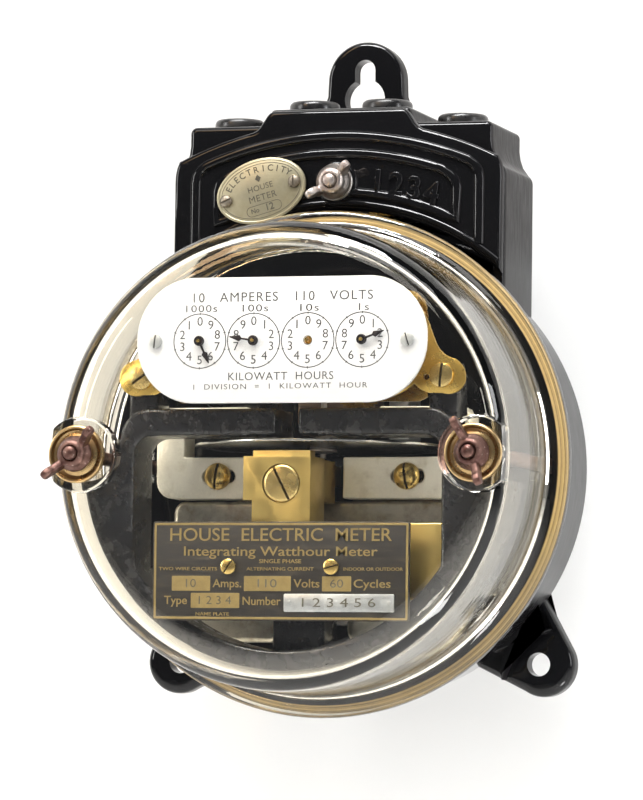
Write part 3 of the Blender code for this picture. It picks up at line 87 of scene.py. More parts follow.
def makeCamera():
    turn, lean, roll = (math.radians(view[key]) for key in ("yaw", "pitch", "roll"))
    back = Vector((math.sin(turn) * math.cos(lean), -math.cos(turn) * math.cos(lean), math.sin(lean)))
    right = Vector((math.cos(turn), math.sin(turn), 0))
    up = back.cross(right)
    rolledRight = math.cos(roll) * right + math.sin(roll) * up
    rolledUp = -math.sin(roll) * right + math.cos(roll) * up
    place = (back * view["away"] + rolledRight * view["across"] + rolledUp * view["up"]) * mm
    lens = bpy.data.cameras.new("camera")
    lens.lens = view["lens"]
    lens.clip_start = 0.05
    lens.clip_end = 50
    camera = bpy.data.objects.new("camera", lens)
    facing = Matrix((rolledRight, rolledUp, back)).transposed().to_4x4()
    camera.matrix_world = Matrix.Translation(place) @ facing
    scene.collection.objects.link(camera)
    scene.camera = camera


def softLight(name, lookFrom, size, power, colour=(1, 1, 1), lookAt=(0, -0.05, 0.02), shineOnly=False):
    # a soft box; one with shineOnly shows in reflections and leaves the light on matt surfaces alone
    lamp = bpy.data.lights.new(name, "AREA")
    lamp.shape = "RECTANGLE"
    lamp.size, lamp.size_y = size
    lamp.energy = power
    lamp.color = colour
    holder = bpy.data.objects.new(name, lamp)
    holder.matrix_world = aimed(lookFrom, lookAt)
    holder.visible_diffuse = not shineOnly
    scene.collection.objects.link(holder)


class Signal:
    def __init__(self, finish, socket):
        self.finish = finish
        self.socket = socket

    def sum(self, operation, *values):
        return self.finish.sum(operation, self, *values)

    def __add__(self, other):
        return self.sum("ADD", other)

    __radd__ = __add__

    def __mul__(self, other):
        return self.sum("MULTIPLY", other)

    __rmul__ = __mul__

    def __sub__(self, other):
        return self.sum("SUBTRACT", other)

    def __rsub__(self, other):
        return self.finish.sum("SUBTRACT", other, self)

    def __truediv__(self, other):
        return self.sum("DIVIDE", other)

    def __pow__(self, other):
        return self.sum("POWER", other)

    def __gt__(self, other):
        return self.sum("GREATER_THAN", other)

    def __lt__(self, other):
        return self.sum("LESS_THAN", other)


class Finish:
    def __init__(self, name):
        self.material = bpy.data.materials.new(name)
        self.material.use_nodes = True
        self.tree = self.material.node_tree
        self.shader = self.tree.nodes["Principled BSDF"]
        self.exit = self.tree.nodes["Material Output"]

    def node(self, kind, settings=None, values=(), out=0):
        made = self.tree.nodes.new(kind)
        for key, value in (settings or {}).items():
            if key == "stops":
                stops = made.color_ramp.elements
                while len(stops) < len(value):
                    stops.new(0.5)
                for stop, (place, colour) in zip(stops, value):
                    stop.position = place
                    stop.color = (*colour, 1)
            else:
                setattr(made, key, value)
        pairs = values.items() if isinstance(values, dict) else enumerate(values)
        for key, value in pairs:
            self.plug(made.inputs[key], value)
        return Signal(self, made.outputs[out])

    def plug(self, socket, value):
        if isinstance(value, Signal):
            self.tree.links.new(value.socket, socket)
        elif isinstance(value, (tuple, list)) and socket.type == "RGBA" and len(value) == 3:
            socket.default_value = (*value, 1)
        else:
            socket.default_value = value

    def sum(self, operation, *values):
        return self.node("ShaderNodeMath", {"operation": operation}, values)

    def place(self, centre=(0, 0, 0), turn=(0, 0, 0), scale=(1, 1, 1)):
        at = self.node("ShaderNodeTexCoord", out="Object")
        slide = [-value * mm for value in centre]
        moved = self.node("ShaderNodeMapping", {"vector_type": "POINT"}, {"Vector": at, "Location": slide})
        values = {"Vector": moved, "Rotation": turn, "Scale": scale}
        return self.node("ShaderNodeMapping", {"vector_type": "POINT"}, values)

    def split(self, vector):
        one = self.tree.nodes.new("ShaderNodeSeparateXYZ")
        self.tree.links.new(vector.socket, one.inputs[0])
        return [Signal(self, socket) for socket in one.outputs]

    def noise(self, at, scale, detail=3, rough=0.5, warp=0.0):
        values = {"Vector": at, "Scale": scale, "Detail": detail, "Roughness": rough, "Distortion": warp}
        return self.node("ShaderNodeTexNoise", {}, values)

    def ramp(self, value, low, high):
        values = {"Value": value, "From Min": low, "From Max": high, "To Min": 0.0, "To Max": 1.0}
        return self.node("ShaderNodeMapRange", {"clamp": True}, values)

    def blend(self, share, first, second):
        made = self.tree.nodes.new("ShaderNodeMix")
        made.data_type = "RGBA"
        self.plug(made.inputs["Factor"], share)
        colours = [socket for socket in made.inputs if socket.type == "RGBA"]
        for socket, value in zip(colours, (first, second)):
            self.plug(socket, value)
        return Signal(self, [socket for socket in made.outputs if socket.type == "RGBA"][0])

    def bump(self, height, depth, strength=1.0):
        values = {"Height": height, "Strength": strength, "Distance": depth * mm}
        return self.node("ShaderNodeBump", {}, values)

    def surface(self, **values):
        names = {"colour": "Base Color", "rough": "Roughness", "metal": "Metallic", "normal": "Normal",
                 "ior": "IOR", "clear": "Transmission Weight", "shine": "Specular IOR Level"}
        for key, value in values.items():
            self.plug(self.shader.inputs[names[key]], value)
        return self.material


print("camera and shader tools ready")


def blackEnamel():
    look = Finish("blackEnamel")
    at = look.place()
    ripple = look.noise(at, 55, 2, 0.5)
    peel = look.noise(at, 300, 2, 0.5)
    chips = look.ramp(look.noise(at, 900, 5, 0.7), 0.70, 0.74)
    colour = look.blend(chips, (0.0055, 0.0055, 0.0062), (0.040, 0.032, 0.026))
    rough = 0.03 + 0.035 * look.ramp(look.noise(at, 24, 4, 0.6), 0.50, 0.80) + chips * 0.2
    facing = look.node("ShaderNodeTexCoord", out="Normal")
    side = look.ramp(look.split(facing)[0], 0.55, 0.90)
    high = look.ramp(look.split(look.node("ShaderNodeTexCoord", out="Object"))[2], 0.070, 0.082)
    streaks = look.noise(look.place(scale=(1, 6, 0.7)), 160, 5, 0.65)
    # grey streaks on faces turned to the right (+X), stronger high up: dust, and painted sheen of that side
    dustAndSideSheen = side * (0.25 + high * 0.75) * look.ramp(streaks, 0.28, 0.66)
    colour = look.blend(dustAndSideSheen, colour, (0.017, 0.014, 0.015))
    rough = rough + dustAndSideSheen * 0.30 + side * 0.30
    height = ripple * 0.6 + peel * 0.10
    normal = look.bump(height, 0.15, 0.50)
    return look.surface(colour=colour, rough=rough, normal=normal, shine=0.38, ior=1.43)


def clearGlass():
    look = Finish("clearGlass")
    at = look.place()
    across, depth, up = look.split(look.node("ShaderNodeTexCoord", out="Object"))
    radius = (across * across + up * up) ** 0.5
    rim = look.ramp(radius, 0.0645, 0.0790)
    rings = look.noise(look.node("ShaderNodeCombineXYZ", {}, (radius, depth, 0.0)), 330, 3, 0.55)
    wave = look.noise(at, 38, 2, 0.5) + rings * rim * 0.75
    tint = look.blend(rim, (0.992, 0.988, 0.972), (0.930, 0.880, 0.760))
    look.surface(colour=tint, rough=0.0, clear=1.0, ior=1.5, normal=look.bump(wave, 0.30, 0.40))
    lampLight = look.node("ShaderNodeLightPath", out="Is Shadow Ray")
    through = look.node("ShaderNodeBsdfTransparent", {}, {"Color": (0.93, 0.92, 0.88)})
    body = Signal(look, look.shader.outputs[0])
    mixed = look.node("ShaderNodeMixShader", {}, {0: lampLight, 1: body, 2: through})
    look.tree.links.new(mixed.socket, look.exit.inputs["Surface"])
    return look.material


def brassFinish(name, colour=(0.70, 0.50, 0.17), dark=(0.30, 0.19, 0.06), brushed=(1, 1, 60), centre=None,
                rough=0.24, age=0.35):
    # brushed along one direction, or turned in rings round a centre
    look = Finish(name)
    at = look.place()
    stain = look.ramp(look.noise(at, 170, 5, 0.62), 0.42, 0.78)
    specks = look.ramp(look.noise(at, 1500, 3, 0.6), 0.68, 0.74)
    tone = look.blend(stain * age, colour, dark)
    tone = look.blend(specks * 0.25, tone, (0.18, 0.12, 0.05))
    if centre is None:
        lines = look.noise(look.place(scale=brushed), 70, 3, 0.6)
        height = lines * 0.6 + look.noise(at, 900, 2) * 0.2
        normal = look.bump(height, 0.035, 0.8)
    else:
        across, depth, up = look.split(look.place(centre=centre))
        radius = (across * across + up * up) ** 0.5
        wobble = look.noise(at, 600, 2) * 0.6
        normal = look.bump(look.sum("SINE", radius * 16000 + wobble * 3), 0.010, 1.0)
    return look.surface(colour=tone, metal=1.0, rough=rough + stain * 0.12 + specks * 0.1, normal=normal)


def metalFinish(name, colour, rough, grain, depth, stainTo, stainAt, stretch=(1, 1, 1), metal=1.0):
    look = Finish(name)
    at = look.place()
    stain = look.ramp(look.noise(at, 140, 5, 0.65), *stainAt)
    fine = look.noise(look.place(scale=stretch), grain, 4, 0.62)
    tone = look.blend(stain, colour, stainTo)
    shade = look.ramp(fine, 0.25, 0.75)
    tone = look.blend(shade * 0.25, tone, tuple(value * 0.55 for value in colour))
    rough = rough + stain * 0.25 + shade * 0.10
    return look.surface(colour=tone, metal=metal, rough=rough, normal=look.bump(fine, depth, 1.0))


def discFinish():
    look = Finish("markedAluminium")
    across, depth, up = look.split(look.place(centre=(0, -51, 0)))
    radius = (across * across + depth * depth) ** 0.5
    angle = look.sum("ARCTAN2", across, depth)
    band = (radius > 0.0400) * (radius < 0.0446)
    lines = look.sum("FRACT", angle * (120 / (2 * math.pi)) + 0.5) < 0.34
    marks = band * lines
    rings = look.sum("SINE", radius * 9000)
    smear = look.noise(look.place(), 90, 4, 0.6)
    tone = look.blend(marks, (0.78, 0.78, 0.77), (0.06, 0.06, 0.06))
    tone = look.blend(look.ramp(smear, 0.5, 0.8) * 0.35, tone, (0.40, 0.39, 0.37))
    rough = 0.20 + marks * 0.4 + smear * 0.1
    return look.surface(colour=tone, metal=1.0, rough=rough, normal=look.bump(rings, 0.006, 0.8))


def enamelWhite():
    look = Finish("whiteEnamel")
    at = look.place()
    cloud = look.noise(at, 30, 4, 0.6)
    specks = look.ramp(look.noise(at, 1300, 4, 0.7), 0.73, 0.76)
    tone = look.blend(look.ramp(cloud, 0.35, 0.8), (0.57, 0.58, 0.60), (0.54, 0.545, 0.55))
    tone = look.blend(specks * 0.5, tone, (0.30, 0.27, 0.22))
    normal = look.bump(look.noise(at, 260, 2), 0.03, 0.5)
    return look.surface(colour=tone, rough=0.22 + cloud * 0.15, normal=normal)


def printInk():
    look = Finish("printInk")
    worn = look.ramp(look.noise(look.place(), 700, 4, 0.65), 0.35, 0.75)
    tone = look.blend(worn, (0.030, 0.032, 0.036), (0.12, 0.12, 0.125))
    return look.surface(colour=tone, rough=0.5 + worn * 0.2)


def plateBlack():
    look = Finish("plateBlack")
    at = look.place()
    streak = look.noise(look.place(scale=(0.35, 1, 3)), 240, 5, 0.65)
    worn = look.ramp(streak, 0.50, 0.80)
    pits = look.noise(at, 1400, 3, 0.6)
    tone = look.blend(worn * 0.7, (0.010, 0.008, 0.006), (0.060, 0.042, 0.020))
    normal = look.bump(pits + streak, 0.05, 0.7)
    return look.surface(colour=tone, metal=0.0, rough=0.42 + worn * 0.2, normal=normal)


def tagFinish():
    look = Finish("tagMetal")
    at = look.place()
    cloud = look.ramp(look.noise(at, 120, 5, 0.62), 0.35, 0.75)
    fine = look.noise(look.place(turn=(0, 0.27, 0), scale=(1, 1, 12)), 160, 3)
    tone = look.blend(cloud, (0.50, 0.465, 0.33), (0.34, 0.30, 0.19))
    return look.surface(colour=tone, metal=0.85, rough=0.34 + cloud * 0.16, normal=look.bump(fine, 0.03, 0.8))


def darkMarks(name, colour=(0.05, 0.045, 0.03), rough=0.6):
    look = Finish(name)
    worn = look.ramp(look.noise(look.place(), 800, 4, 0.6), 0.35, 0.75)
    tone = look.blend(worn, colour, tuple(value * 2.2 for value in colour))
    return look.surface(colour=tone, rough=rough + worn * 0.15)


def feltFinish():
    look = Finish("ochreFelt")
    at = look.place()
    across, depth, up = look.split(at)
    radius = (across * across + up * up) ** 0.5
    hair = look.noise(at, 1900, 5, 0.7)
    patch = look.ramp(look.noise(at, 90, 4, 0.6), 0.3, 0.7)
    # light and dark concentric rings on the felt: painted reflection streaks, standing in for those in the
    # glass rim
    lines = look.noise(look.node("ShaderNodeCombineXYZ", {}, (radius, depth, 0.0)), 1500, 4, 0.7)
    tone = look.blend(patch, (0.150, 0.112, 0.055), (0.080, 0.058, 0.030))
    tone = look.blend(look.ramp(hair, 0.4, 0.7) * 0.3, tone, (0.42, 0.31, 0.13))
    tone = look.blend(look.ramp(lines, 0.50, 0.62) * 0.8, tone, (0.62, 0.47, 0.24))
    tone = look.blend(look.ramp(lines, 0.44, 0.36) * 0.7, tone, (0.035, 0.032, 0.028))
    return look.surface(colour=tone, rough=0.9, normal=look.bump(hair, 0.15, 1.0))


def rubberFinish():
    look = Finish("hardRubber")
    at = look.place()
    grain = look.noise(at, 700, 4, 0.6)
    bloom = look.ramp(look.noise(at, 110, 4, 0.6), 0.4, 0.8)
    tone = look.blend(bloom, (0.012, 0.012, 0.013), (0.040, 0.036, 0.033))
    return look.surface(colour=tone, rough=0.22 + bloom * 0.3, normal=look.bump(grain, 0.05, 0.7))


def tapeFinish():
    look = Finish("varnishedTape")
    across, depth, up = look.split(look.place())
    lap = look.sum("FRACT", up * 260 + across * 28)
    weave = look.noise(look.place(), 2400, 3, 0.6)
    edge = look.ramp(lap, 0.0, 0.16)
    tone = look.blend(edge, (0.020, 0.013, 0.009), (0.115, 0.070, 0.038))
    normal = look.bump(lap * 0.8 + weave * 0.3, 0.3, 0.9)
    return look.surface(colour=tone, rough=0.55 + weave * 0.2, normal=normal)


def laminateFinish():
    look = Finish("laminatedIron")
    across, depth, up = look.split(look.place())
    sheet = look.sum("FRACT", depth * 1600)
    rust = look.ramp(look.noise(look.place(), 150, 5, 0.65), 0.5, 0.8)
    tone = look.blend(look.ramp(sheet, 0.0, 0.3), (0.03, 0.03, 0.03), (0.22, 0.22, 0.22))
    tone = look.blend(rust * 0.6, tone, (0.16, 0.075, 0.035))
    return look.surface(colour=tone, metal=0.8, rough=0.45 + rust * 0.3, normal=look.bump(sheet, 0.08, 0.8))


def bronzeFinish():
    look = Finish("oldBronze")
    at = look.place()
    cloud = look.noise(at, 210, 5, 0.62)
    fine = look.noise(at, 1100, 3, 0.6)
    tone = look.blend(look.ramp(cloud, 0.40, 0.66), (0.075, 0.034, 0.028), (0.22, 0.125, 0.10))
    tone = look.blend(look.ramp(fine, 0.62, 0.72) * 0.8, tone, (0.52, 0.42, 0.36))
    rough = 0.30 + look.ramp(cloud, 0.3, 0.7) * 0.25
    return look.surface(colour=tone, metal=0.85, rough=rough, normal=look.bump(cloud + fine * 0.4, 0.22, 0.8))


def floorPaint():
    look = Finish("floorPaint")
    look.surface(colour=studio["paint"], rough=0.9, shine=0.1)
    back = look.node("ShaderNodeNewGeometry", out="Backfacing")
    through = look.node("ShaderNodeBsdfTransparent")
    body = Signal(look, look.shader.outputs[0])
    mixed = look.node("ShaderNodeMixShader", {}, {0: back, 1: body, 2: through})
    look.tree.links.new(mixed.socket, look.exit.inputs["Surface"])
    return look.material


finishes = {
    "enamel": blackEnamel(),
    "frame": metalFinish("frameBlack", (0.014, 0.014, 0.015), 0.17, 300, 0.02, (0.035, 0.034, 0.033),
                         (0.5, 0.9), metal=0.0),
    "glass": clearGlass(),
    "brass": brassFinish("brass"),
    "blockBrass": brassFinish("blockBrass", (0.70, 0.52, 0.18), (0.46, 0.31, 0.09), (1, 1, 30),
                              rough=0.30, age=0.3),
    "nickel": metalFinish("castNickel", (0.96, 0.92, 0.79), 0.42, 1000, 0.13, (0.55, 0.49, 0.35),
                          (0.55, 0.88), metal=0.35),
    "shield": metalFinish("smoothNickel", (0.52, 0.49, 0.41), 0.28, 260, 0.04, (0.12, 0.09, 0.06),
                          (0.45, 0.80), (1, 1, 5)),
    "steel": metalFinish("wornSteel", (0.56, 0.53, 0.50), 0.30, 900, 0.05, (0.20, 0.14, 0.10), (0.50, 0.75)),
    "blued": metalFinish("bluedSteel", (0.030, 0.026, 0.028), 0.28, 1200, 0.02, (0.06, 0.03, 0.02),
                         (0.55, 0.85), metal=0.7),
    "disc": discFinish(),
    "dial": enamelWhite(),
    "ink": printInk(),
    "plate": plateBlack(),
    "tag": tagFinish(),
    "tagMarks": darkMarks("tagMarks"),
    "strip": metalFinish("stampedStrip", (0.66, 0.68, 0.68), 0.30, 300, 0.02, (0.32, 0.33, 0.33),
                         (0.45, 0.8), (0.3, 1, 4)),
    "felt": feltFinish(),
    "rubber": rubberFinish(),
    "tape": tapeFinish(),
    "iron": laminateFinish(),
    "bronze": bronzeFinish(),
    "floor": floorPaint(),
    "leftCup": brassFinish("turnedCupLeft", (0.60, 0.42, 0.20), (0.26, 0.16, 0.08), centre=(-70.4, 0, 0),
                           rough=0.26, age=0.6),
    "rightCup": brassFinish("turnedCupRight", (0.60, 0.42, 0.20), (0.26, 0.16, 0.08), centre=(70.4, 0, 0),
                            rough=0.26, age=0.6),
    "leftEar": brassFinish("turnedEarLeft", (0.80, 0.60, 0.24), centre=(-53.8, 0, 27.5), rough=0.22, age=0.2),
    "rightEar": brassFinish("turnedEarRight", (0.80, 0.60, 0.24), centre=(53.8, 0, 27.5), rough=0.22,
                            age=0.2),
    "turnedBlock": brassFinish("turnedBlockHead", (0.80, 0.60, 0.24), centre=(-1.6, 0, -9.3), rough=0.22,
                               age=0.2),
    "registerBrass": brassFinish("registerBrass", (0.66, 0.45, 0.12), (0.30, 0.19, 0.05), (1, 1, 20),
                                 rough=0.26, age=0.45),
    "plateBrass": brassFinish("plateBrass", (0.46, 0.35, 0.15), (0.20, 0.14, 0.06), (40, 1, 1),
                              rough=0.38, age=0.6),
    "steelNut": metalFinish("steelNut", (0.58, 0.52, 0.48), 0.30, 500, 0.20, (0.24, 0.17, 0.15),
                            (0.45, 0.70)),
    # near-black painted shade for the floors of the screw slots
    "slotShade": darkMarks("paintedScrewShade", (0.012, 0.009, 0.006), 0.8),
    "tagScrew": metalFinish("tagScrew", (0.34, 0.30, 0.24), 0.38, 700, 0.05, (0.10, 0.08, 0.06),
                            (0.40, 0.70)),
}
print("finishes ready")


def along(cx, cz, radius, start, end, steps):
    turns = [math.radians(start + (end - start) * step / steps) for step in range(steps + 1)]
    return [(cx + radius * math.cos(turn), cz + radius * math.sin(turn)) for turn in turns]


def bothSides(right):
    return right + [(-x, z) for x, z in reversed(right)]


def stadium(halfX, halfZ, radius, centre=(0, 0), steps=8):
    points = []
    for quarter, (sideX, sideZ) in enumerate(((1, 1), (-1, 1), (-1, -1), (1, -1))):
        cx = centre[0] + sideX * (halfX - radius)
        cz = centre[1] + sideZ * (halfZ - radius)
        points += along(cx, cz, radius, quarter * 90, quarter * 90 + 90, steps)
    return points


def roundOff(shape, edges, offset, segments):
    rounded = {"affect": "EDGES", "profile": 0.5, "material": -1, "clamp_overlap": True}
    bmesh.ops.bevel(shape, geom=edges, offset=offset, segments=segments, **rounded)


def sheetOf(loops, back, front, edge=0.0, segments=3, bothEdges=False):
    # an outline facing the front, with holes as further loops, thickened and given a round front edge
    shape = bmesh.new()
    rims = []
    for loop in loops:
        corners = [shape.verts.new((x, -back, z)) for x, z in loop]
        rims += [shape.edges.new((corners[i - 1], corners[i])) for i in range(len(corners))]
    if len(loops) == 1:
        bmesh.ops.contextual_create(shape, geom=rims)
    else:
        bmesh.ops.triangle_fill(shape, edges=rims, use_beauty=True)
    grown = bmesh.ops.extrude_face_region(shape, geom=list(shape.faces), use_keep_orig=True)["geom"]
    moved = [item for item in grown if isinstance(item, bmesh.types.BMVert)]
    bmesh.ops.translate(shape, verts=moved, vec=(0, back - front, 0))
    bmesh.ops.recalc_face_normals(shape, faces=shape.faces)
    if edge > 0:
        wanted = [-front, -back] if bothEdges else [-front]
        rim = []
        for item in shape.edges:
            level = [all(abs(end.co.y - y) < 1e-5 for end in item.verts) for y in wanted]
            if any(level) and item.calc_face_angle(0) > 0.5:
                rim.append(item)
        roundOff(shape, rim, edge, segments)
    return shape


def lathe(profile, steps=48, upright=False):
    # (radius, height) points turned about the axis that runs to the front, or up
    shape = bmesh.new()
    points = [(radius, 0, height) if upright else (radius, -height, 0) for radius, height in profile]
    corners = [shape.verts.new(point) for point in points]
    edges = [shape.edges.new(pair) for pair in zip(corners, corners[1:])]
    if profile[0][0] > 0 and profile[-1][0] > 0:
        edges.append(shape.edges.new((corners[-1], corners[0])))
    axis = (0, 0, 1) if upright else (0, 1, 0)
    around = {"cent": (0, 0, 0), "axis": axis, "angle": 2 * math.pi, "use_merge": True}
    bmesh.ops.spin(shape, geom=corners + edges, steps=steps, **around)
    bmesh.ops.remove_doubles(shape, verts=shape.verts, dist=1e-4)
    bmesh.ops.recalc_face_normals(shape, faces=shape.faces)
    return shape


def block(low, high, edge=0.0, segments=2):
    shape = bmesh.new()
    size = [b - a for a, b in zip(low, high)]
    middle = [(a + b) / 2 for a, b in zip(low, high)]
    place = Matrix.Translation((middle[0], -middle[1], middle[2])) @ Matrix.Diagonal((*size, 1))
    bmesh.ops.create_cube(shape, size=1, matrix=place)
    if edge > 0:
        roundOff(shape, shape.edges[:], edge, segments)
    return shape


def meshOf(shape):
    mesh = bpy.data.meshes.new("work")
    shape.to_mesh(mesh)
    shape.free()
    return mesh


def gather(parts, places=None):
    # several shapes as one, each put in its place
    whole = bmesh.new()
    for part, place in zip(parts, places or [None] * len(parts)):
        if place is not None:
            bmesh.ops.transform(part, matrix=place, verts=part.verts)
            if place.determinant() < 0:
                bmesh.ops.recalc_face_normals(part, faces=part.faces)
        mesh = meshOf(part)
        whole.from_mesh(mesh)
        bpy.data.meshes.remove(mesh)
    return whole


def turned(profile, steps, x=0.0, z=0.0):
    return gather([lathe(profile, steps)], [Matrix.Translation((x, 0, z))])


def rod(radius, back, front, steps, x=0.0, z=0.0):
    return turned([(0, back), (radius, back), (radius, front), (0, front)], steps, x, z)


def withModifiers(shape, *steps):
    # runs modifiers on a shape and gives back the result
    holder = bpy.data.objects.new("work", meshOf(shape))
    scene.collection.objects.link(holder)
    for kind, settings in steps:
        change = holder.modifiers.new(kind, kind)
        for key, value in settings.items():
            setattr(change, key, value)
    bpy.context.view_layer.update()
    done = bpy.data.meshes.new_from_object(holder.evaluated_get(bpy.context.evaluated_depsgraph_get()))
    result = bmesh.new()
    result.from_mesh(done)
    bpy.data.objects.remove(holder)
    bpy.data.meshes.remove(done)
    return result


def carve(shape, tool, operation="DIFFERENCE"):
    cutter = bpy.data.objects.new("cutter", meshOf(tool))
    scene.collection.objects.link(cutter)
    result = withModifiers(shape, ("BOOLEAN", {"object": cutter, "operation": operation, "solver": "EXACT"}))
    bpy.data.objects.remove(cutter)
    return result


def meshFromCurve(curve):
    holder = bpy.data.objects.new("work", curve)
    scene.collection.objects.link(holder)
    bpy.context.view_layer.update()
    done = bpy.data.meshes.new_from_object(holder.evaluated_get(bpy.context.evaluated_depsgraph_get()))
    shape = bmesh.new()
    shape.from_mesh(done)
    bpy.data.objects.remove(holder)
    bpy.data.meshes.remove(done)
    bmesh.ops.remove_doubles(shape, verts=shape.verts, dist=1e-4)
    return shape


def bead(points, radius, flatten=1.0, closed=False, sides=3):
    # a rounded ridge along (x, z) points at depth 0
    line = bpy.data.curves.new("work", "CURVE")
    line.dimensions = "3D"
    line.bevel_depth = radius
    line.bevel_resolution = sides
    line.use_fill_caps = True
    strand = line.splines.new("POLY")
    strand.points.add(len(points) - 1)
    for point, (x, z) in zip(strand.points, points):
        point.co = (x, 0, z, 1)
    strand.use_cyclic_u = closed
    shape = meshFromCurve(line)
    bmesh.ops.scale(shape, vec=(1, flatten, 1), verts=shape.verts)
    bmesh.ops.recalc_face_normals(shape, faces=shape.faces)
    return shape


def lettering(words, height, thick, stretch=1.0, weight=0.0, spacing=1.0, rounding=0.0):
    # words centred on (0, 0), standing up and facing the front, from depth 0 forwards
    text = bpy.data.curves.new("work", "FONT")
    text.body = words
    text.align_x = "CENTER"
    text.align_y = "CENTER"
    text.size = height / 0.72  # capitals are 0.72 of the type size
    text.extrude = thick / 2 - rounding
    text.offset = weight
    text.bevel_depth = rounding
    text.bevel_resolution = 2
    text.space_character = spacing
    text.resolution_u = 4
    shape = meshFromCurve(text)
    upright = Matrix.Rotation(math.pi / 2, 4, "X") @ Matrix.Diagonal((stretch, 1, 1, 1))
    bmesh.ops.transform(shape, matrix=Matrix.Translation((0, -thick / 2, 0)) @ upright, verts=shape.verts)
    return shape


def spot(x, depth, z, turn=0.0):
    # a place in front of the wall; a turn is anticlockwise as seen from the front, in degrees
    return Matrix.Translation((x, -depth, z)) @ Matrix.Rotation(-math.radians(turn), 4, "Y")


def settle(name, shape, finish, body, stands=(), sharp=32):
    bmesh.ops.scale(shape, vec=(mm, mm, mm), verts=shape.verts)
    mesh = bpy.data.meshes.new(name)
    shape.to_mesh(mesh)
    shape.free()
    mesh.shade_smooth()
    mesh.set_sharp_from_angle(angle=math.radians(sharp))
    mesh.materials.clear()
    mesh.materials.append(finishes[finish])
    piece = bpy.data.objects.new(name, mesh)
    scene.collection.objects.link(piece)
    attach(piece, body)
    if stands:
        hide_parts(*stands)
    return piece


def softened(node, name, finish, edge, segments=2, angle=40):
    # a CAD node's own shape with its sharp edges rounded
    source = frame["nodes"][node]
    shape = bmesh.new()
    shape.from_mesh(source.data)
    bmesh.ops.scale(shape, vec=(1 / mm, 1 / mm, 1 / mm), verts=shape.verts)
    bmesh.ops.remove_doubles(shape, verts=shape.verts, dist=1e-3)
    bmesh.ops.dissolve_limit(shape, angle_limit=math.radians(1), verts=shape.verts, edges=shape.edges)
    sharpest = math.radians(angle)
    corners = [item for item in shape.edges if item.is_manifold and item.calc_face_angle(0) > sharpest]
    roundOff(shape, corners, edge, segments)
    return settle(name, shape, finish, source["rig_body"], (node,))


def dress(finish, *nodes):
    for node in nodes:
        mesh = frame["nodes"][node].data
        mesh.materials.clear()
        mesh.materials.append(finishes[finish])


print("shape tools ready")

makeCamera()
sides = ((-1, "left"), (1, "right"))
studAcross = 70.4
lidStudUp = 100
dialUp = 39
wireAcross = (-41.5, -13.5, 13.5, 41.5)


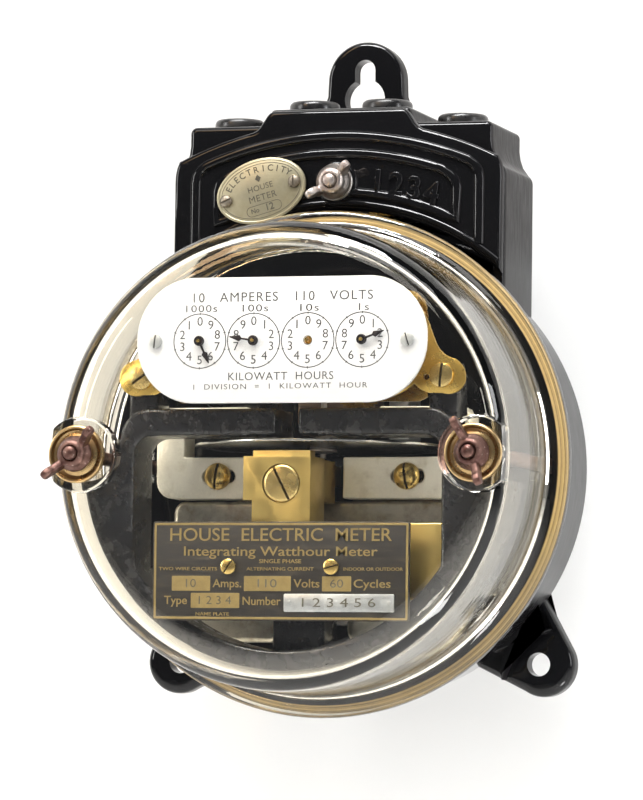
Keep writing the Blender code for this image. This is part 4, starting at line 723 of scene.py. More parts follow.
def makeCase():
    spec = {
        "drum": [(0, 0), (81.0, 0), (82.0, 0.5), (82.3, 1.5), (85.0, 42.0), (85.5, 43.2), (85.5, 45.0),
                 (84.8, 45.8), (84.0, 46.0), (79.4, 46.0), (78.6, 45.2), (75.8, 8.0), (75.0, 6.0),
                 (73.0, 5.0), (0, 5.0)],
        "join": 80.0,
        "chamberHalf": 61.0,
        "chamberDepth": 38.0,
        "rimEdge": 2.2,
        "room": {"radius": 88.0, "half": 56.8, "top": 112.0, "back": 5.0, "front": 41.0},
        "eye": 7.5,
        "eyeUp": 134.0,
        "slot": 3.8,
        "slotUp": 144.6,
        "lugRadius": 14.2,
        "lugUp": 140.9,
        "lugDepth": 7.0,
        "footAt": (66.8, -68.8),
        "padAt": 68.0,
        "padRadius": 11.5,
        "footHole": 4.2,
        "footDepth": 7.0,
        "footRidge": 13.0,
        "scoop": 14.5,
        "step": 0.06,  # keeps the flat backs from lying in one plane
        "post": [(0, 3), (6.6, 3), (6.6, 4.4), (6.0, 5.2), (6.0, 29.4), (5.4, 30.0), (2.7, 30.0),
                 (2.7, 12.0), (0, 12.0)],
        "magnetBoss": (34.3, -5.2),
        "coreBosses": (52.0, -51.0),
    }
    join = spec["join"]
    joinAt = math.degrees(math.acos(spec["chamberHalf"] / join))
    outside = along(0, 0, join, 90, joinAt, 12)[1:]
    outside += [(61.0, 101.5)] + along(57.0, 102.5, 4.0, 0, 50, 5)
    outside += [(57.4, 108.6), (56.4, 111.6), (56.0, 114.5)]
    outside += along(53.5, 119.0, 2.5, 0, 90, 5) + [(29.2, 121.5)]
    outside += [(27.4, 122.1), (26.6, 123.6)] + along(24.2, 125.2, 2.0, 0, 90, 4)
    chamber = sheetOf([bothSides(outside)], spec["step"], spec["chamberDepth"], spec["rimEdge"], 4)
    room = spec["room"]
    roomAt = math.degrees(math.acos(room["half"] / room["radius"]))
    hollow = along(0, 0, room["radius"], 90, roomAt, 12)[1:] + [(room["half"], 104.5), (51.8, room["top"])]
    chamber = carve(chamber, sheetOf([bothSides(hollow)], room["back"], room["front"]))
    eyeTurn = math.degrees(math.asin(spec["slot"] / spec["eye"]))
    keyhole = along(0, spec["eyeUp"], spec["eye"], 90 - eyeTurn, eyeTurn - 270, 28)
    keyhole += along(0, spec["slotUp"], spec["slot"], 180, 0, 12)
    lugSide = [(19.5, 120.5), (18.2, 127.5), (15.6, 131.5), (14.4, 135.5)]
    lugSide += along(0, spec["lugUp"], spec["lugRadius"], 4, 86, 12)
    lug = sheetOf([bothSides(lugSide)], spec["step"] * 2, spec["lugDepth"], 2.0, 4)
    lug = carve(lug, sheetOf([keyhole], -1, 8.2))
    chamber = carve(chamber, sheetOf([along(0, spec["eyeUp"], spec["eye"], 0, 350, 35)], -1, 7.5))
    parts = [lathe(spec["drum"], 144), chamber, lug]
    footX, footZ = spec["footAt"]
    towards = math.degrees(math.atan2(footZ, footX))

    def onDrum(turn):
        turn = math.radians(towards + turn)
        return join * math.cos(turn), join * math.sin(turn)

    def mirrored(points, side):
        return [(side * x, z) for x, z in points]

    for side, word in sides:
        pad = along(spec["padAt"], footZ, spec["padRadius"], towards - 78, towards + 78, 20)
        foot = mirrored([onDrum(-13)] + pad + [onDrum(13)], side)
        footShape = sheetOf([foot], spec["step"], spec["footDepth"], 3.0, 5)
        hole = mirrored(along(footX, footZ, spec["footHole"], 0, 345, 23), side)
        footShape = carve(footShape, sheetOf([hole], -1, 9))
        scoop = along(68.6, -70.4, spec["scoop"], towards + 242, towards + 118, 14)
        ridge = mirrored([onDrum(15)] + scoop + [onDrum(-15)], side)
        parts += [footShape, sheetOf([ridge], spec["step"] * 2, spec["footRidge"], 3.2, 5)]
        parts.append(turned(spec["post"], 40, side * studAcross))
        bossX, bossZ = spec["magnetBoss"]
        boss = [(0, 3), (5.0, 3), (4.0, 6.0), (4.0, 51.2), (3.5, 51.7), (0, 51.7)]
        parts.append(turned(boss, 28, side * bossX, bossZ))
    lidPost = [(0, 3), (6.2, 3), (5.0, 6.0), (5.0, 13.4), (4.4, 14.0), (2.7, 14.0), (2.7, 7.0), (0, 7.0)]
    parts.append(turned(lidPost, 32, 0, lidStudUp))
    for z in spec["coreBosses"]:
        coreBoss = [(0, 3), (7.4, 3), (6.0, 6.0), (6.0, 21.2), (5.5, 21.7), (0, 21.7)]
        parts.append(turned(coreBoss, 32, 0, z))
    settle("caseShell", gather(parts), "enamel", "case", ("case",), 38)
    print("case made")


def makeGlass():
    spec = {
        "front": 109.2,
        "face": 3.4,
        "window": 65.5,
        "shoulder": (14.8, 9.2),
        "hollow": (9.8, 5.5),
        "bendAt": 100.0,
        "wallOut": 80.1,
        "bore": 3.0,
        "steps": 160,
        "side": [(80.5, 96.0), (81.0, 85.0), (81.5, 70.0), (82.0, 60.0), (82.2, 57.6), (82.9, 56.2),
                 (84.2, 55.2), (85.2, 54.9)],
        "flange": [(86.8, 54.6), (88.1, 54.0), (88.8, 53.0), (89.0, 51.6), (88.9, 50.2), (88.3, 49.2),
                   (87.2, 48.6)],
        "foot": [(78.0, 48.6), (77.2, 49.2), (76.9, 52.0)],
        "boss": [(0, 100.5), (12.2, 100.5), (13.0, 101.5), (13.0, 109.2), (12.8, 109.6), (12.4, 109.8),
                 (0, 109.8)],
        "felt": [(83.4, 46.5), (83.8, 46.3), (85.7, 46.3), (86.2, 46.7), (86.2, 47.9), (85.7, 48.3),
                 (83.8, 48.3), (83.4, 48.0)],
    }

    def bend(size, base, start, end, steps):
        wide, tall = size
        turns = [math.radians(start + (end - start) * step / steps) for step in range(steps + 1)]
        return [(spec["window"] + wide * math.cos(turn), base + tall * math.sin(turn)) for turn in turns]

    shoulder = bend(spec["shoulder"], spec["bendAt"], 90, 0, 12)
    inside = bend(spec["hollow"], spec["bendAt"] + 0.3, 0, 90, 10)
    profile = [(0, spec["front"])] + shoulder + spec["side"] + spec["flange"] + spec["foot"] + inside
    glass = lathe(profile + [(0, spec["front"] - spec["face"])], spec["steps"])
    for side, word in sides:
        wallOut = spec["wallOut"]
        ring = lathe([(wallOut, 90), (wallOut, 120), (110, 120), (110, 90)], spec["steps"])
        glass = carve(glass, carve(turned(spec["boss"], 64, side * studAcross), ring), "UNION")
        glass = carve(glass, rod(spec["bore"], 90, 120, 32, side * studAcross))
    settle("glassCover", glass, "glass", "cover", ("glass_cover",), 25)
    settle("feltGasket", lathe(spec["felt"], 144), "felt", "case", ("cover_gasket",), 50)
    print("glass and gasket made")


def wingNut(x, z, back, turn, reach, wingLift):
    spec = {
        "hub": [(2.72, 0.0), (5.9, 0.0), (6.2, 0.3), (6.2, 1.2), (5.7, 2.2), (5.0, 3.4), (4.6, 4.6),
                (4.0, 5.3), (3.2, 5.6), (2.72, 5.6)],
        "halfThick": 1.35,
        "edge": 0.6,
        "liftFrom": 5.6,
        "skin": 0.26,  # cell of the remesh that blends the wings into the hub
    }
    parts = [lathe(spec["hub"], 48)]
    for side in (1, -1):
        wing = [(2.9, 1.0), (5.4, 0.7), (7.2, 1.6), (reach * 0.80, 4.6), (reach - 0.2, 6.6), (reach, 8.6),
                (reach - 0.7, 9.7), (reach - 2.2, 10.0), (reach - 3.8, 9.2), (reach - 5.0, 7.4), (4.8, 5.3),
                (2.9, 5.0)]
        outline = [(side * out, lift * wingLift if lift > spec["liftFrom"] else lift) for out, lift in wing]
        blade = sheetOf([outline], -spec["halfThick"], spec["halfThick"], spec["edge"], 2, bothEdges=True)
        parts.append(gather([blade], [Matrix.Rotation(math.pi / 2, 4, "X")]))
    whole = withModifiers(
        gather(parts),
        ("REMESH", {"mode": "VOXEL", "voxel_size": spec["skin"], "adaptivity": 0.0}),
        ("SMOOTH", {"factor": 0.5, "iterations": 7}),
    )
    bmesh.ops.transform(whole, matrix=spot(x, back, z, turn), verts=whole.verts)
    return whole


def makeCoverNuts():
    spec = {
        "cup": [(2.7, 110.1), (9.2, 110.1), (9.8, 110.3), (10.0, 110.8), (10.0, 111.9), (9.8, 112.4),
                (9.4, 112.6), (8.9, 112.5), (8.5, 112.0), (8.2, 111.3), (7.4, 111.0), (6.6, 111.2),
                (6.3, 111.3), (2.7, 111.3)],
        "stud": [(0, 10.3), (2.1, 10.3), (2.4, 10.6), (2.4, 118.8), (2.15, 119.6), (1.4, 120.15),
                 (0, 120.3)],
        "nutBack": 112.9,
        "turns": (44, 113),
        "reach": 12.4,
    }
    for (side, word), turn in zip(sides, spec["turns"]):
        x = side * studAcross
        cup = turned(spec["cup"], 72, x)
        nut = wingNut(x, 0, spec["nutBack"], turn, spec["reach"], 1.0)
        stud = turned(spec["stud"], 40, x)
        settle(f"cup_{word}", cup, f"{word}Cup", f"cup_{word}", (f"cover_cup_{word}",))
        nutNode = f"cover_wing_nut_{word}"
        settle(f"wingNut_{word}", nut, "bronze", f"wing_nut_{word}", (nutNode,), 60)
        settle(f"stud_{word}", stud, "bronze", "case", (f"cover_stud_{word}",))
    print("cups, nuts and studs made")


def lidOutline(half, arch, foot, archUp):
    lowAt = math.degrees(math.acos(half / foot))
    right = along(0, 0, foot, 90, lowAt, 18)[1:]
    cornerX = half - 5
    cornerZ = archUp + math.sqrt(arch ** 2 - cornerX ** 2)
    right += [(half, 101.0), (half - 0.1, 103.8), (half - 0.6, 106.4), (half - 1.6, 108.9)]
    right.append((half - 3.0, cornerZ - 1.0))
    fromTurn = math.degrees(math.acos(cornerX / arch))
    toTurn = math.degrees(math.acos(31.4 / arch))
    right += along(0, archUp, arch, fromTurn, toTurn, 10)
    right += [(29.9, 119.6), (28.9, 120.6), (26.4, 124.4), (25.4, 125.5), (23.9, 126.2)]
    return bothSides(right)


def makeLid():
    spec = {
        "half": 60.5,
        "arch": 133.0,
        "foot": 90.5,
        "archUp": -10.4,
        "back": 38.3,
        "face": 41.2,
        "edge": 1.9,
        "bore": 3.0,
        "rib": 1.9,
        "outerArch": 127.0,
        "innerArch": 120.8,
        "markArch": (111.2, 111.7),
        "marks": "1234",
        "marksAt": (15.2, 22.0, 28.6, 35.0),
        "markTall": 8.2,
        "seat": [(3.0, 41.0), (8.0, 41.0), (7.6, 41.9), (6.9, 42.3), (3.0, 42.3)],
        "washer": [(2.72, 42.6), (6.4, 42.6), (6.6, 42.8), (6.6, 43.6), (6.4, 43.8), (2.72, 43.8)],
        "stud": [(0, 7.0), (2.4, 7.0), (2.4, 50.2), (2.1, 51.0), (1.5, 51.4), (0, 51.5)],
        "nutBack": 44.1,
        "nutReach": 9.8,
        "nutTurn": 38,
    }
    arched = spec["archUp"]
    outline = lidOutline(spec["half"], spec["arch"], spec["foot"], arched)
    plate = sheetOf([outline], spec["back"], spec["face"], spec["edge"], 4)
    parts = [carve(plate, rod(spec["bore"], 30, 50, 32, 0, lidStudUp))]

    def archFrom(x, radius, steps):
        return along(0, arched, radius, math.degrees(math.acos(x / radius)), 90, steps)[:-1]

    outer = [(52.3, 77.6), (52.3, 100.5), (51.9, 103.2),
             (50.6, 105.4)] + archFrom(48.4, spec["outerArch"], 24)
    outer = bothSides(outer)
    inner = [(44.2, 86.4), (44.2, 97.5), (43.4, 100.2),
             (41.4, 102.2)] + archFrom(38.5, spec["innerArch"], 18)
    inner = bothSides(inner)
    inner += along(0, 0, 96.6, 116.5, 63.5, 36)[1:-1]
    ribs = [bead(outer, spec["rib"], 0.62, False, 5), bead(inner, spec["rib"], 0.62, True, 5)]
    ribs.append(bead(along(0, 0, 92.9, 50.5, 129.5, 60), 1.2, 0.8))
    for rib in ribs:
        parts.append(gather([rib], [spot(0, spec["face"], 0)]))
    parts.append(turned(spec["seat"], 48, 0, lidStudUp))
    for mark, x in zip(spec["marks"], spec["marksAt"]):
        low, lean = spec["markArch"]
        turn = -math.degrees(math.asin(x / lean)) * 0.55
        digit = lettering(mark, spec["markTall"], 1.3, 0.95, 0.0, 1.0, 0.45)
        z = arched + math.sqrt(low ** 2 - x ** 2)
        parts.append(gather([digit], [spot(x, spec["face"] - 0.3, z, turn)]))
    settle("chamberLid", gather(parts), "enamel", "terminal_lid", ("terminal_cover",), 38)
    washer = turned(spec["washer"], 56, 0, lidStudUp)
    settle("lidWasher", washer, "steel", "lid_washer", ("terminal_cover_washer",))
    nut = wingNut(0, lidStudUp, spec["nutBack"], spec["nutTurn"], spec["nutReach"], 0.98)
    settle("lidWingNut", nut, "steelNut", "lid_wing_nut", ("terminal_cover_wing_nut",), 60)
    stud = turned(spec["stud"], 36, 0, lidStudUp)
    settle("lidStud", stud, "steelNut", "case", ("terminal_cover_stud",))
    print("lid made")


def ovalLetters(words, height, thick, halfX, halfZ, start, end):
    # letters round an oval, from one angle to another
    parts = []
    places = []
    for number, letter in enumerate(words):
        turn = math.radians(start + (end - start) * number / max(len(words) - 1, 1))
        x, z = halfX * math.cos(turn), halfZ * math.sin(turn)
        lean = math.degrees(math.atan2(z / halfZ ** 2, x / halfX ** 2)) - 90
        parts.append(lettering(letter, height, thick, 1.0, 0.02))
        places.append(spot(x, 0, z, lean))
    return gather(parts, places)


def makeTag():
    spec = {
        "x": -27.2,
        "z": 97.5,
        "halfX": 16.85,
        "halfZ": 11.4,
        "turn": 15.5,
        "back": 42.6,
        "front": 43.25,
        "mark": 0.06,
        "screws": ((-40.2, 93.9), (-15.0, 100.7)),
        "head": [(0, 43.1), (2.3, 43.1), (2.35, 43.5), (2.0, 44.1), (1.2, 44.5), (0, 44.6)],
    }
    place = spot(spec["x"], 0, spec["z"], spec["turn"])

    def oval(inset, steps=64):
        turns = [2 * math.pi * step / steps for step in range(steps)]
        halfX, halfZ = spec["halfX"] - inset, spec["halfZ"] - inset
        return [(halfX * math.cos(turn), halfZ * math.sin(turn)) for turn in turns]

    plate = sheetOf([oval(0)], spec["back"], spec["front"], 0.2, 2)
    rim = gather([bead(oval(0.75), 0.28, 0.5, True)], [spot(0, spec["front"], 0)])
    whole = gather([gather([plate, rim])], [place])
    settle("tagPlate", whole, "tag", "terminal_lid", ("number_tag",), 40)
    mark = spec["mark"]
    marks = (
        (ovalLetters("ELECTRICITY", 2.3, mark, 12.8, 7.6, 152, 28), 0, 0),
        (lettering("HOUSE", 2.1, mark, 1.0, 0.0, 1.05), 0, 1.2),
        (lettering("METER", 2.4, mark, 1.0, 0.0, 1.1), 0, -2.4),
        (lettering("No", 1.7, mark, 1.0, 0.04), -3.9, -6.4),
        (lettering("12", 2.5, mark, 1.0, 0.06), 1.6, -6.4),
        (sheetOf([[(-1.1, 0), (0, -1.4), (1.1, 0), (0, 1.4)]], 0, mark), 0, 4.6),
        (bead(oval(1.9), 0.12, 0.4, True), 0, 0),
        (bead(stadium(6.6, 1.75, 1.7, (0, 0), 6), 0.12, 0.4, True), -0.4, -6.4),
    )
    places = [spot(x, spec["front"], z) for shape, x, z in marks]
    whole = gather([gather([shape for shape, x, z in marks], places)], [place])
    settle("tagMarks", whole, "tagMarks", "terminal_lid", (), 60)
    for number, (x, z) in enumerate(spec["screws"]):
        head = carve(lathe(spec["head"], 32), block((-3, 43.9, -0.3), (3, 46, 0.3)))
        head = gather([head], [spot(x, 0, z, 25 + 70 * number)])
        settle(f"tagScrew_{number + 1}", head, "tagScrew", "terminal_lid", (), 40)
    print("tag made")


# near-black strips on the screw-slot floors: painted shade
paintedSlotShade = []


def slottedHead(x, z, radius, back, front, turn, dome, slotWide, shank, shankBack):
    tall = front - back
    crown = tall * dome
    cap = [(0, back), (radius - 0.15, back), (radius, back + 0.15), (radius, front - crown - 0.1)]
    for step in range(1, 7):
        swing = step / 6 * math.pi / 2
        cap.append((radius * math.cos(swing) if step < 6 else 0, front - crown + crown * math.sin(swing)))
    floor = front - tall * 0.7
    slot = block((-radius - 1, floor, -slotWide / 2), (radius + 1, front + 2, slotWide / 2))
    head = carve(lathe(cap, 48), slot)
    reach, half = radius * 0.93, slotWide * 0.48
    # a near-black strip on the slot floor: painted shade in the slot
    slotShade = block((-reach, floor - 0.02, -half), (reach, floor + 0.06, half))
    paintedSlotShade.append(gather([slotShade], [spot(x, 0, z, turn)]))
    pin = lathe([(0, shankBack), (shank, shankBack), (shank, back + 0.1), (0, back + 0.1)], 20)
    return gather([gather([head, pin])], [spot(x, 0, z, turn)])


def makeScrews():
    # radius, back, front, first turn and turn by side, dome, slot width, shank radius and back
    table = (
        ("dialScrew", "dial_screw", "strip", "steel", (44.9, 39), (2.4, 103.2, 104.2), (95, 12),
         (0.3, 0.5, 1.1, 98.2)),
        ("plateScrew", "name_plate_screw", "brass", "brass", (18.3, -38), (2.7, 100.3, 101.6), (35, -20),
         (0.45, 0.55, 1.3, 93.8)),
        ("earScrew", "register_screw", "Ear", "brass", (53.8, 27.5), (4.2, 90.7, 92.9), (60, 25),
         (0.25, 0.85, 1.7, 84.7)),
        ("magnetScrew", "brake_magnet_screw", "brass", "brass", (34.3, -5.2), (4.7, 64.3, 67.85), (90, 8),
         (0.75, 0.9, 2.1, 52.3)),
    )
    for side, word in sides:
        for name, node, finish, slot, (x, z), size, (turn, more), rest in table:
            head = slottedHead(side * x, z, *size, turn + more * side, *rest)
            finish = word + finish if finish == "Ear" else finish
            settle(f"{name}_{word}", head, finish, "case", (f"{node}_{word}",), 40)
    head = slottedHead(-1.6, -9.3, 6.3, 92.3, 95.3, 117, 0.12, 0.9, 2.1, 85.3)
    settle("blockScrew", head, "turnedBlock", "case", ("bearing_block_screw",), 40)
    # the painted slot shade strips, as one piece
    settle("paintedSlotShade", gather(paintedSlotShade), "slotShade", "case", (), 40)
    print("screws made")


def fitted(words, height, wide, x, z, depth, thick, turn=0.0, weight=0.0, spacing=1.0):
    # lettering stretched to a width, at a place
    shape = lettering(words, height, thick, 1.0, weight, spacing)
    across = [vert.co.x for vert in shape.verts]
    middle = (max(across) + min(across)) / 2
    grow = wide / (max(across) - min(across)) if wide else 1.0
    bmesh.ops.translate(shape, vec=(-middle, 0, 0), verts=shape.verts)
    bmesh.ops.scale(shape, vec=(grow, 1, 1), verts=shape.verts)
    bmesh.ops.transform(shape, matrix=spot(x, depth, z, turn), verts=shape.verts)
    return shape


def makeDial():
    spec = {
        "half": 51.7,
        "halfTall": 21.55,
        "corner": 21.0,
        "middle": 39.2,
        "back": 101.7,
        "front": 102.9,
        "ink": 0.05,
        "pitch": 19.3,
        "hole": 1.4,
        "ring": 9.33,
        "ringHalf": 0.17,
        "numbers": 6.6,
        "digit": 3.1,
        "lines": (
            ("10   AMPERES   110   VOLTS", 3.3, 64.0, 0.6, 53.9, 0.4, 1.15),
            ("KILOWATT  HOURS", 2.8, 37.5, 0.2, 26.7, 0.3, 1.1),
            ("1  DIVISION  =  1  KILOWATT  HOUR", 1.9, 62.0, 0.0, 23.3, 0.3, 1.2),
        ),
        "labels": (("1000s", 11.2), ("100s", 9.2), ("10s", 6.6), ("1s", 3.6)),
        "anticlockwise": (0, 2),
        "readings": (("1000", -5.70, 0), ("100", 7.75, 1), ("1", 1.94, 3)),
        "hand": [(-0.36, 1.75), (-0.30, 4.2), (-1.05, 4.9), (-0.12, 8.5), (0.12, 8.5), (1.05, 4.9),
                 (0.30, 4.2), (0.36, 1.75)],
        "handHub": [(0.95, 104.2), (1.6, 104.2), (1.5, 104.75), (0.95, 104.75)],
    }
    dialAcross = [(step - 1.5) * spec["pitch"] for step in range(4)]
    outline = stadium(spec["half"], spec["halfTall"], spec["corner"], (0, spec["middle"]), 20)
    plate = sheetOf([outline], spec["back"], spec["front"], 0.3, 3)
    for x in dialAcross:
        plate = carve(plate, rod(spec["hole"], 100, 105, 24, x, dialUp))
    settle("dialFace", plate, "dial", "case", ("dial_plate",), 30)
    at, thick = spec["front"], spec["ink"]

    def circle(low, high, steps, x):
        return turned([(low, at), (low, at + thick), (high, at + thick), (high, at)], steps, x, dialUp)

    ink = []
    for words, height, wide, x, z, turn, spacing in spec["lines"]:
        ink.append(fitted(words, height, wide, x, z, at, thick, turn, 0.0, spacing))
    for step, ((label, wide), x) in enumerate(zip(spec["labels"], dialAcross)):
        ink.append(fitted(label, 2.5, wide, x + 0.5, 50.0, at, thick, 0.3, 0.0, 1.15))
        ring, half = spec["ring"], spec["ringHalf"]
        ink += [circle(ring - half, ring + half, 72, x), circle(spec["hole"], 1.58, 32, x)]
        way = -1 if step in spec["anticlockwise"] else 1
        for number in range(10):
            turn = math.radians(36 * number * way)
            tick = sheetOf([[(-0.14, 8.9), (0.14, 8.9), (0.14, 9.75), (-0.14, 9.75)]], at, at + thick)
            ink.append(gather([tick], [spot(x, 0, dialUp, -math.degrees(turn))]))
            numberX = x + spec["numbers"] * math.sin(turn)
            numberZ = dialUp + spec["numbers"] * math.cos(turn)
            ink.append(fitted(str(number), spec["digit"], 0, numberX, numberZ, at, thick))
    settle("dialPrint", gather(ink), "ink", "case", (), 60)
    for name, reading, step in spec["readings"]:
        shape = sheetOf([along(0, 0, 1.75, 78, -258, 24) + spec["hand"]], 103.7, 104.3, 0.12, 2)
        whole = gather([shape, lathe(spec["handHub"], 32)])
        whole = gather([whole], [spot(dialAcross[step], 0, dialUp, -36 * reading)])
        settle(f"pointer_{name}", whole, "blued", f"shaft_{name}", (f"pointer_{name}",), 40)
    print("dial made")


def makeNamePlate():
    spec = {
        "back": 98.8,
        "front": 99.86,
        "raised": 0.14,
        "low": -56.4,
        "high": -22.6,
        "half": 45.7,
        "lines": (
            ("HOUSE  ELECTRIC  METER", 4.5, 79.0, 0, -27.3, 0.03),
            ("Integrating Watthour Meter", 3.3, 69.0, 0, -32.9, 0.03),
            ("SINGLE PHASE", 1.35, 15.0, 0, -36.2, 0.03),
            ("TWO WIRE CIRCUITS", 1.15, 21.0, -33, -38.8, 0.02),
            ("INDOOR OR OUTDOOR", 1.15, 21.0, 33, -38.8, 0.02),
            ("ALTERNATING CURRENT", 1.15, 24.0, 0, -38.8, 0.02),
            ("Amps.", 2.9, 10.2, -18.9, -43.8, 0.03),
            ("Volts", 2.9, 9.2, 9.5, -43.8, 0.03),
            ("Cycles", 2.9, 13.0, 32.7, -43.8, 0.03),
            ("Type", 2.9, 8.2, -37.3, -49.6, 0.03),
            ("Number", 2.9, 13.6, -6.4, -49.8, 0.03),
            ("NAME PLATE", 1.15, 12.0, -24, -54.2, 0.02),
        ),
        "boxes": ((-38.7, -24.9, -46.3, -41.2), (-12.8, 3.9, -46.3, -41.2), (15.0, 25.3, -46.3, -41.2),
                  (-31.8, -14.4, -52.1, -47.0)),
        "figures": (("10", 3.6, -31.8, -43.8), ("110", 6.8, -4.5, -43.8), ("60", 4.6, 20.2, -43.8),
                    ("1 2 3 4", 11.6, -23.1, -49.6)),
        "strip": (21.1, -50.25),
        "stripFront": 100.42,
        "rivets": (3.4, 38.8),
        "rivet": [(0, 100.3), (0.8, 100.3), (0.7, 100.65), (0, 100.8)],
    }
    middle = (spec["low"] + spec["high"]) / 2
    tall = (spec["high"] - spec["low"]) / 2
    sheet = sheetOf([stadium(spec["half"], tall, 0.8, (0, middle))], spec["back"], spec["front"], 0.15, 2)
    settle("plateSheet", sheet, "plate", "case", ("name_plate",), 40)
    at, raised = spec["front"], spec["raised"]

    def embossed(loops):
        return sheetOf(loops, at - 0.05, at + raised, 0.04, 1)

    outer = stadium(45.2, tall - 0.5, 0.5, (0, middle), 3)
    inner = stadium(44.45, tall - 1.25, 0.3, (0, middle), 3)
    letters = [embossed([outer, inner])]
    for words, height, wide, x, z, weight in spec["lines"]:
        letters.append(fitted(words, height, wide, x, z, at, raised, weight=weight))
    for left, right, low, high in spec["boxes"]:
        centre = ((left + right) / 2, (low + high) / 2)
        letters.append(embossed([stadium((right - left) / 2, (high - low) / 2, 0.3, centre, 3)]))
    settle("plateLetters", gather(letters), "plateBrass", "case", (), 40)
    stripX, stripZ = spec["strip"]
    figures = [fitted(words, 2.9, wide, x, z, at + raised, 0.04) for words, wide, x, z in spec["figures"]]
    figures.append(fitted("1 2 3 4 5 6", 3.1, 26.0, stripX, -50.3, spec["stripFront"], 0.04))
    settle("plateFigures", gather(figures), "tagMarks", "case", (), 60)
    strip = [sheetOf([stadium(19.5, 3.05, 0.5, (stripX, stripZ), 4)], 99.7, spec["stripFront"], 0.12, 2)]
    strip += [turned(spec["rivet"], 20, x, stripZ) for x in spec["rivets"]]
    settle("numberStrip", gather(strip), "strip", "case", (), 40)
    print("name plate made")


def makeLoop():
    spec = {
        "front": 95.0,
        "back": 75.0,
        "outer": 74.2,
        "inner": 66.5,
        "innerHalf": 55.0,
        "edge": 2.4,
        "notch": 8.5,
        "lug": (53.8, 27.5),
        "lugHalf": 5.2,
        "postOut": 70.35,
        "postTurn": math.radians(-35),
        "post": [(0, 5.3), (5.4, 5.3), (3.8, 9.0), (3.8, 77.0), (0, 77.0)],
        "plateAt": (18.3, -38),
        "platePost": [(0, 73), (4.2, 73), (3.2, 76.0), (3.2, 98.0), (2.7, 98.5), (0, 98.5)],
        "bars": (
            ((-9.5, 62.0, -69.5), (9.5, 78.0, -33.0), 1.5),
            ((-23.0, 62.3, -43.0), (23.0, 77.6, -33.3), 1.2),
            ((-16.0, 70.0, 9.3), (-9.0, 78.7, 49.0), 1.0),
            ((-15.7, 46.0, 44.0), (4.5, 78.4, 49.3), 1.0),
        ),
    }
    sideAt = math.degrees(math.asin(-6.0 / spec["outer"]))
    right = along(0, 0, spec["outer"], -90, sideAt, 44)[1:]
    right += along(50.0, 6.5, 10.0, 0, 90, 10)
    right += [(5.2, 16.5), (4.4, 16.2), (4.0, 15.4), (4.0, 8.4), (4.4, 7.6), (5.2, 7.3)]
    right += [(48.5, 7.3)] + along(48.5, 0.8, 6.5, 85, 5, 8)
    innerAt = math.degrees(math.acos(spec["innerHalf"] / spec["inner"]))
    right += [(spec["innerHalf"], -20.0)] + along(0, 0, spec["inner"], -innerAt, -90, 30)[:-1]
    arch = sheetOf([bothSides(right)], spec["back"], spec["front"], spec["edge"], 4)
    for side, word in sides:
        arch = carve(arch, rod(spec["notch"], 70, 100, 48, side * studAcross))
    parts = [arch]
    lugX, lugZ = spec["lug"]
    plateX, plateZ = spec["plateAt"]
    for side, word in sides:
        lugLow, lugHigh = sorted((side * lugX - spec["lugHalf"], side * lugX + spec["lugHalf"]))
        parts.append(block((lugLow, 75.2, 11.5), (lugHigh, 88.9, 33.0), 1.2, 3))
        postX, postZ = (spec["postOut"] * turn(spec["postTurn"]) for turn in (math.cos, math.sin))
        for x, z in ((side * lugX, lugZ), (side * postX, postZ)):
            parts.append(turned(spec["post"], 32, x, z))
        parts.append(turned(spec["platePost"], 32, side * plateX, plateZ))
    parts += [block(low, high, edge, 3) for low, high, edge in spec["bars"]]
    settle("movementLoop", gather(parts), "frame", "case", ("movement_frame",), 38)
    print("loop made")


def makeRegister():
    spec = {
        "back": 89.2,
        "front": 90.4,
        "lobe": (30.5, 39.0, 19.5),
        "ear": (55.9, 27.4, 6.3),
        "pinHole": (48.2, 27.0),
        "post": [(0, 89.8), (2.6, 89.8), (2.6, 101.2), (2.4, 101.4), (0, 101.4)],
        "postAcross": 44.9,
    }
    right = along(*spec["lobe"], -88, -47, 8)
    right += [(46.0, 22.8), (49.0, 21.6)] + along(*spec["ear"], -110, 72, 16)
    right += [(56.2, 33.9), (54.2, 34.9), (52.6, 36.5), (51.4, 38.6), (50.4, 41.0)]
    right += along(*spec["lobe"], 14, 88, 14)
    plate = sheetOf([bothSides(right)], spec["back"], spec["front"], 0.3, 2)
    holeX, holeZ = spec["pinHole"]
    for side, word in sides:
        plate = carve(plate, rod(1.0, 85, 95, 20, side * holeX, holeZ))
    parts = [plate] + [turned(spec["post"], 24, side * spec["postAcross"], dialUp) for side, word in sides]
    settle("registerPlate", gather(parts), "registerBrass", "case", ("register_front_plate",), 35)
    print("register plate made")


def makeBlockAndMagnets():
    bracket = {"low": (39.3, 84.0, -48.7), "high": (53.3, 86.0, -22.4), "edge": 0.5}
    softened("bearing_block", "bearingBlock", "blockBrass", 0.55, 3)
    for side, word in sides:
        softened(f"brake_magnet_{word}", f"brakeMagnet_{word}", "nickel", 1.5, 4)
    softened("coil_shield", "coilShield", "shield", 1.8, 4)
    shape = block(bracket["low"], bracket["high"], bracket["edge"], 3)
    settle("sideBracket", shape, "blockBrass", "case", (), 40)
    for side, word in sides:
        softened(f"current_coil_{word}", f"currentCoil_{word}", "tape", 1.2, 3)
    softened("potential_coil", "potentialCoil", "tape", 1.2, 3)
    for name in ("current", "potential"):
        softened(f"{name}_core", f"{name}Core", "iron", 0.25, 2)
    print("block, magnets, coils and cores made")


def makeDisc():
    spec = {
        "rim": [(2.4, 5.25), (2.45, 5.2), (44.8, 5.2), (45.0, 5.4), (45.0, 5.8), (44.8, 6.0),
                (2.45, 6.0), (2.4, 5.95)],
        "depth": 51,
    }
    plate = gather([lathe(spec["rim"], 160, upright=True)], [spot(0, spec["depth"], 0)])
    settle("countedDisc", plate, "disc", "disc_spindle", ("disc",), 30)
    print("disc made")


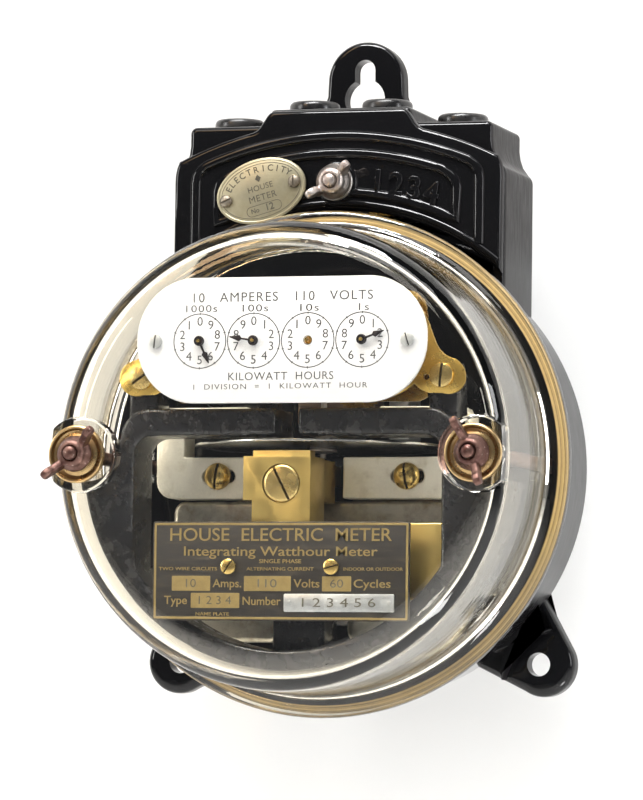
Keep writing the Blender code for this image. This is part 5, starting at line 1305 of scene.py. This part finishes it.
def makeBushings():
    spec = {
        "tops": (121.5, 127.2, 127.2, 121.5),
        "clear": 0.3,
        "low": 112.1,
        "bore": 3.6,
        "shank": 5.9,
        "depth": 24,
        "head": [(8.6, 0), (9.0, 0.4), (9.0, 1.9), (8.7, 2.7), (8.0, 3.3), (7.4, 3.4), (6.9, 3.2),
                 (6.4, 2.6), (5.2, 2.4), (4.2, 2.5), (3.6, 1.9)],
    }
    for number, (x, top) in enumerate(zip(wireAcross, spec["tops"]), 1):
        base = top + spec["clear"]
        profile = [(spec["bore"], spec["low"]), (spec["shank"], spec["low"]), (spec["shank"], base)]
        profile += [(radius, base + height) for radius, height in spec["head"]]
        shape = gather([lathe(profile, 56, upright=True)], [spot(x, spec["depth"], 0)])
        settle(f"bushing_{number}", shape, "rubber", "case", (f"wire_bushing_{number}",), 40)
    softened("terminal_block", "terminalBlock", "rubber", 0.8, 3)
    for number in range(1, 5):
        softened(f"terminal_{number}", f"terminal_{number}_clamp", "brass", 0.4, 2)
    print("bushings and terminals made")


makeCase()
makeGlass()
makeCoverNuts()
makeLid()
makeTag()
makeScrews()
makeDial()
makeNamePlate()
makeLoop()
makeRegister()
makeBlockAndMagnets()
makeDisc()
makeBushings()
for step in (1, 10, 100, 1000):
    dress("brass", f"dial_shaft_{step}")
dress("brass", "worm_wheel_shaft", "upper_bearing")
dress("brass", "register_back_plate", "register_pillar_left", "register_pillar_right")
dress("steel", "spindle", "lower_bearing")


def makeStage():
    floorZ, wallY, bend = studio["floorAt"], studio["wallAt"], studio["sweep"]
    turns = [math.radians(turn) for turn in range(0, 91, 9)]
    profile = [(-3000, floorZ)]
    bendY, bendZ = wallY - bend, floorZ + bend
    profile += [(bendY + bend * math.sin(turn), bendZ - bend * math.cos(turn)) for turn in turns]
    profile.append((wallY, 2600))
    shape = bmesh.new()
    corners = [shape.verts.new((-3000, y, z)) for y, z in profile]
    edges = [shape.edges.new(pair) for pair in zip(corners, corners[1:])]
    swept = bmesh.ops.extrude_edge_only(shape, edges=edges)["geom"]
    moved = [item for item in swept if isinstance(item, bmesh.types.BMVert)]
    bmesh.ops.translate(shape, vec=(6000, 0, 0), verts=moved)
    bmesh.ops.scale(shape, vec=(mm, mm, mm), verts=shape.verts)
    shape.normal_update()
    if sum(face.normal.y for face in shape.faces) > 0:
        bmesh.ops.reverse_faces(shape, faces=shape.faces)
    mesh = bpy.data.meshes.new("sweep")
    shape.to_mesh(mesh)
    shape.free()
    mesh.shade_smooth()
    mesh.materials.append(finishes["floor"])
    sweep = bpy.data.objects.new("sweep", mesh)
    scene.collection.objects.link(sweep)


def makeLights():
    world = bpy.data.worlds.new("studio")
    world.use_nodes = True
    ground = world.node_tree.nodes["Background"]
    ground.inputs["Color"].default_value = (*studio["world"], 1)
    ground.inputs["Strength"].default_value = studio["worldStrength"]
    scene.world = world
    scene.view_settings.view_transform = "Standard"
    softLight("above", (0.1, -0.6, 1.5), (0.50, 0.26), 24)
    softLight("left", (-1.35, -0.9, 0.40), (0.20, 0.75), 8.5, (1.0, 0.99, 0.97))
    softLight("right", (1.5, -0.6, 0.30), (0.30, 0.80), 7.5, (0.97, 0.98, 1.0))
    softLight("warm", (-0.75, -1.3, 0.95), (0.16, 0.55), 3.0, (1.0, 0.66, 0.36))
    softLight("glint", (-0.30, -0.95, 1.30), (0.55, 0.16), 21, shineOnly=True)
    softLight("low", (0.27, -0.24, -0.33), (0.12, 0.07), 0.45, lookAt=(0.05, -0.07, -0.05))
    softLight("backdrop", (0.0, -1.2, 1.9), (2.4, 0.8), 24, lookAt=(0, 0.05, 0.1))


makeStage()
makeLights()
print("stage and lights ready")
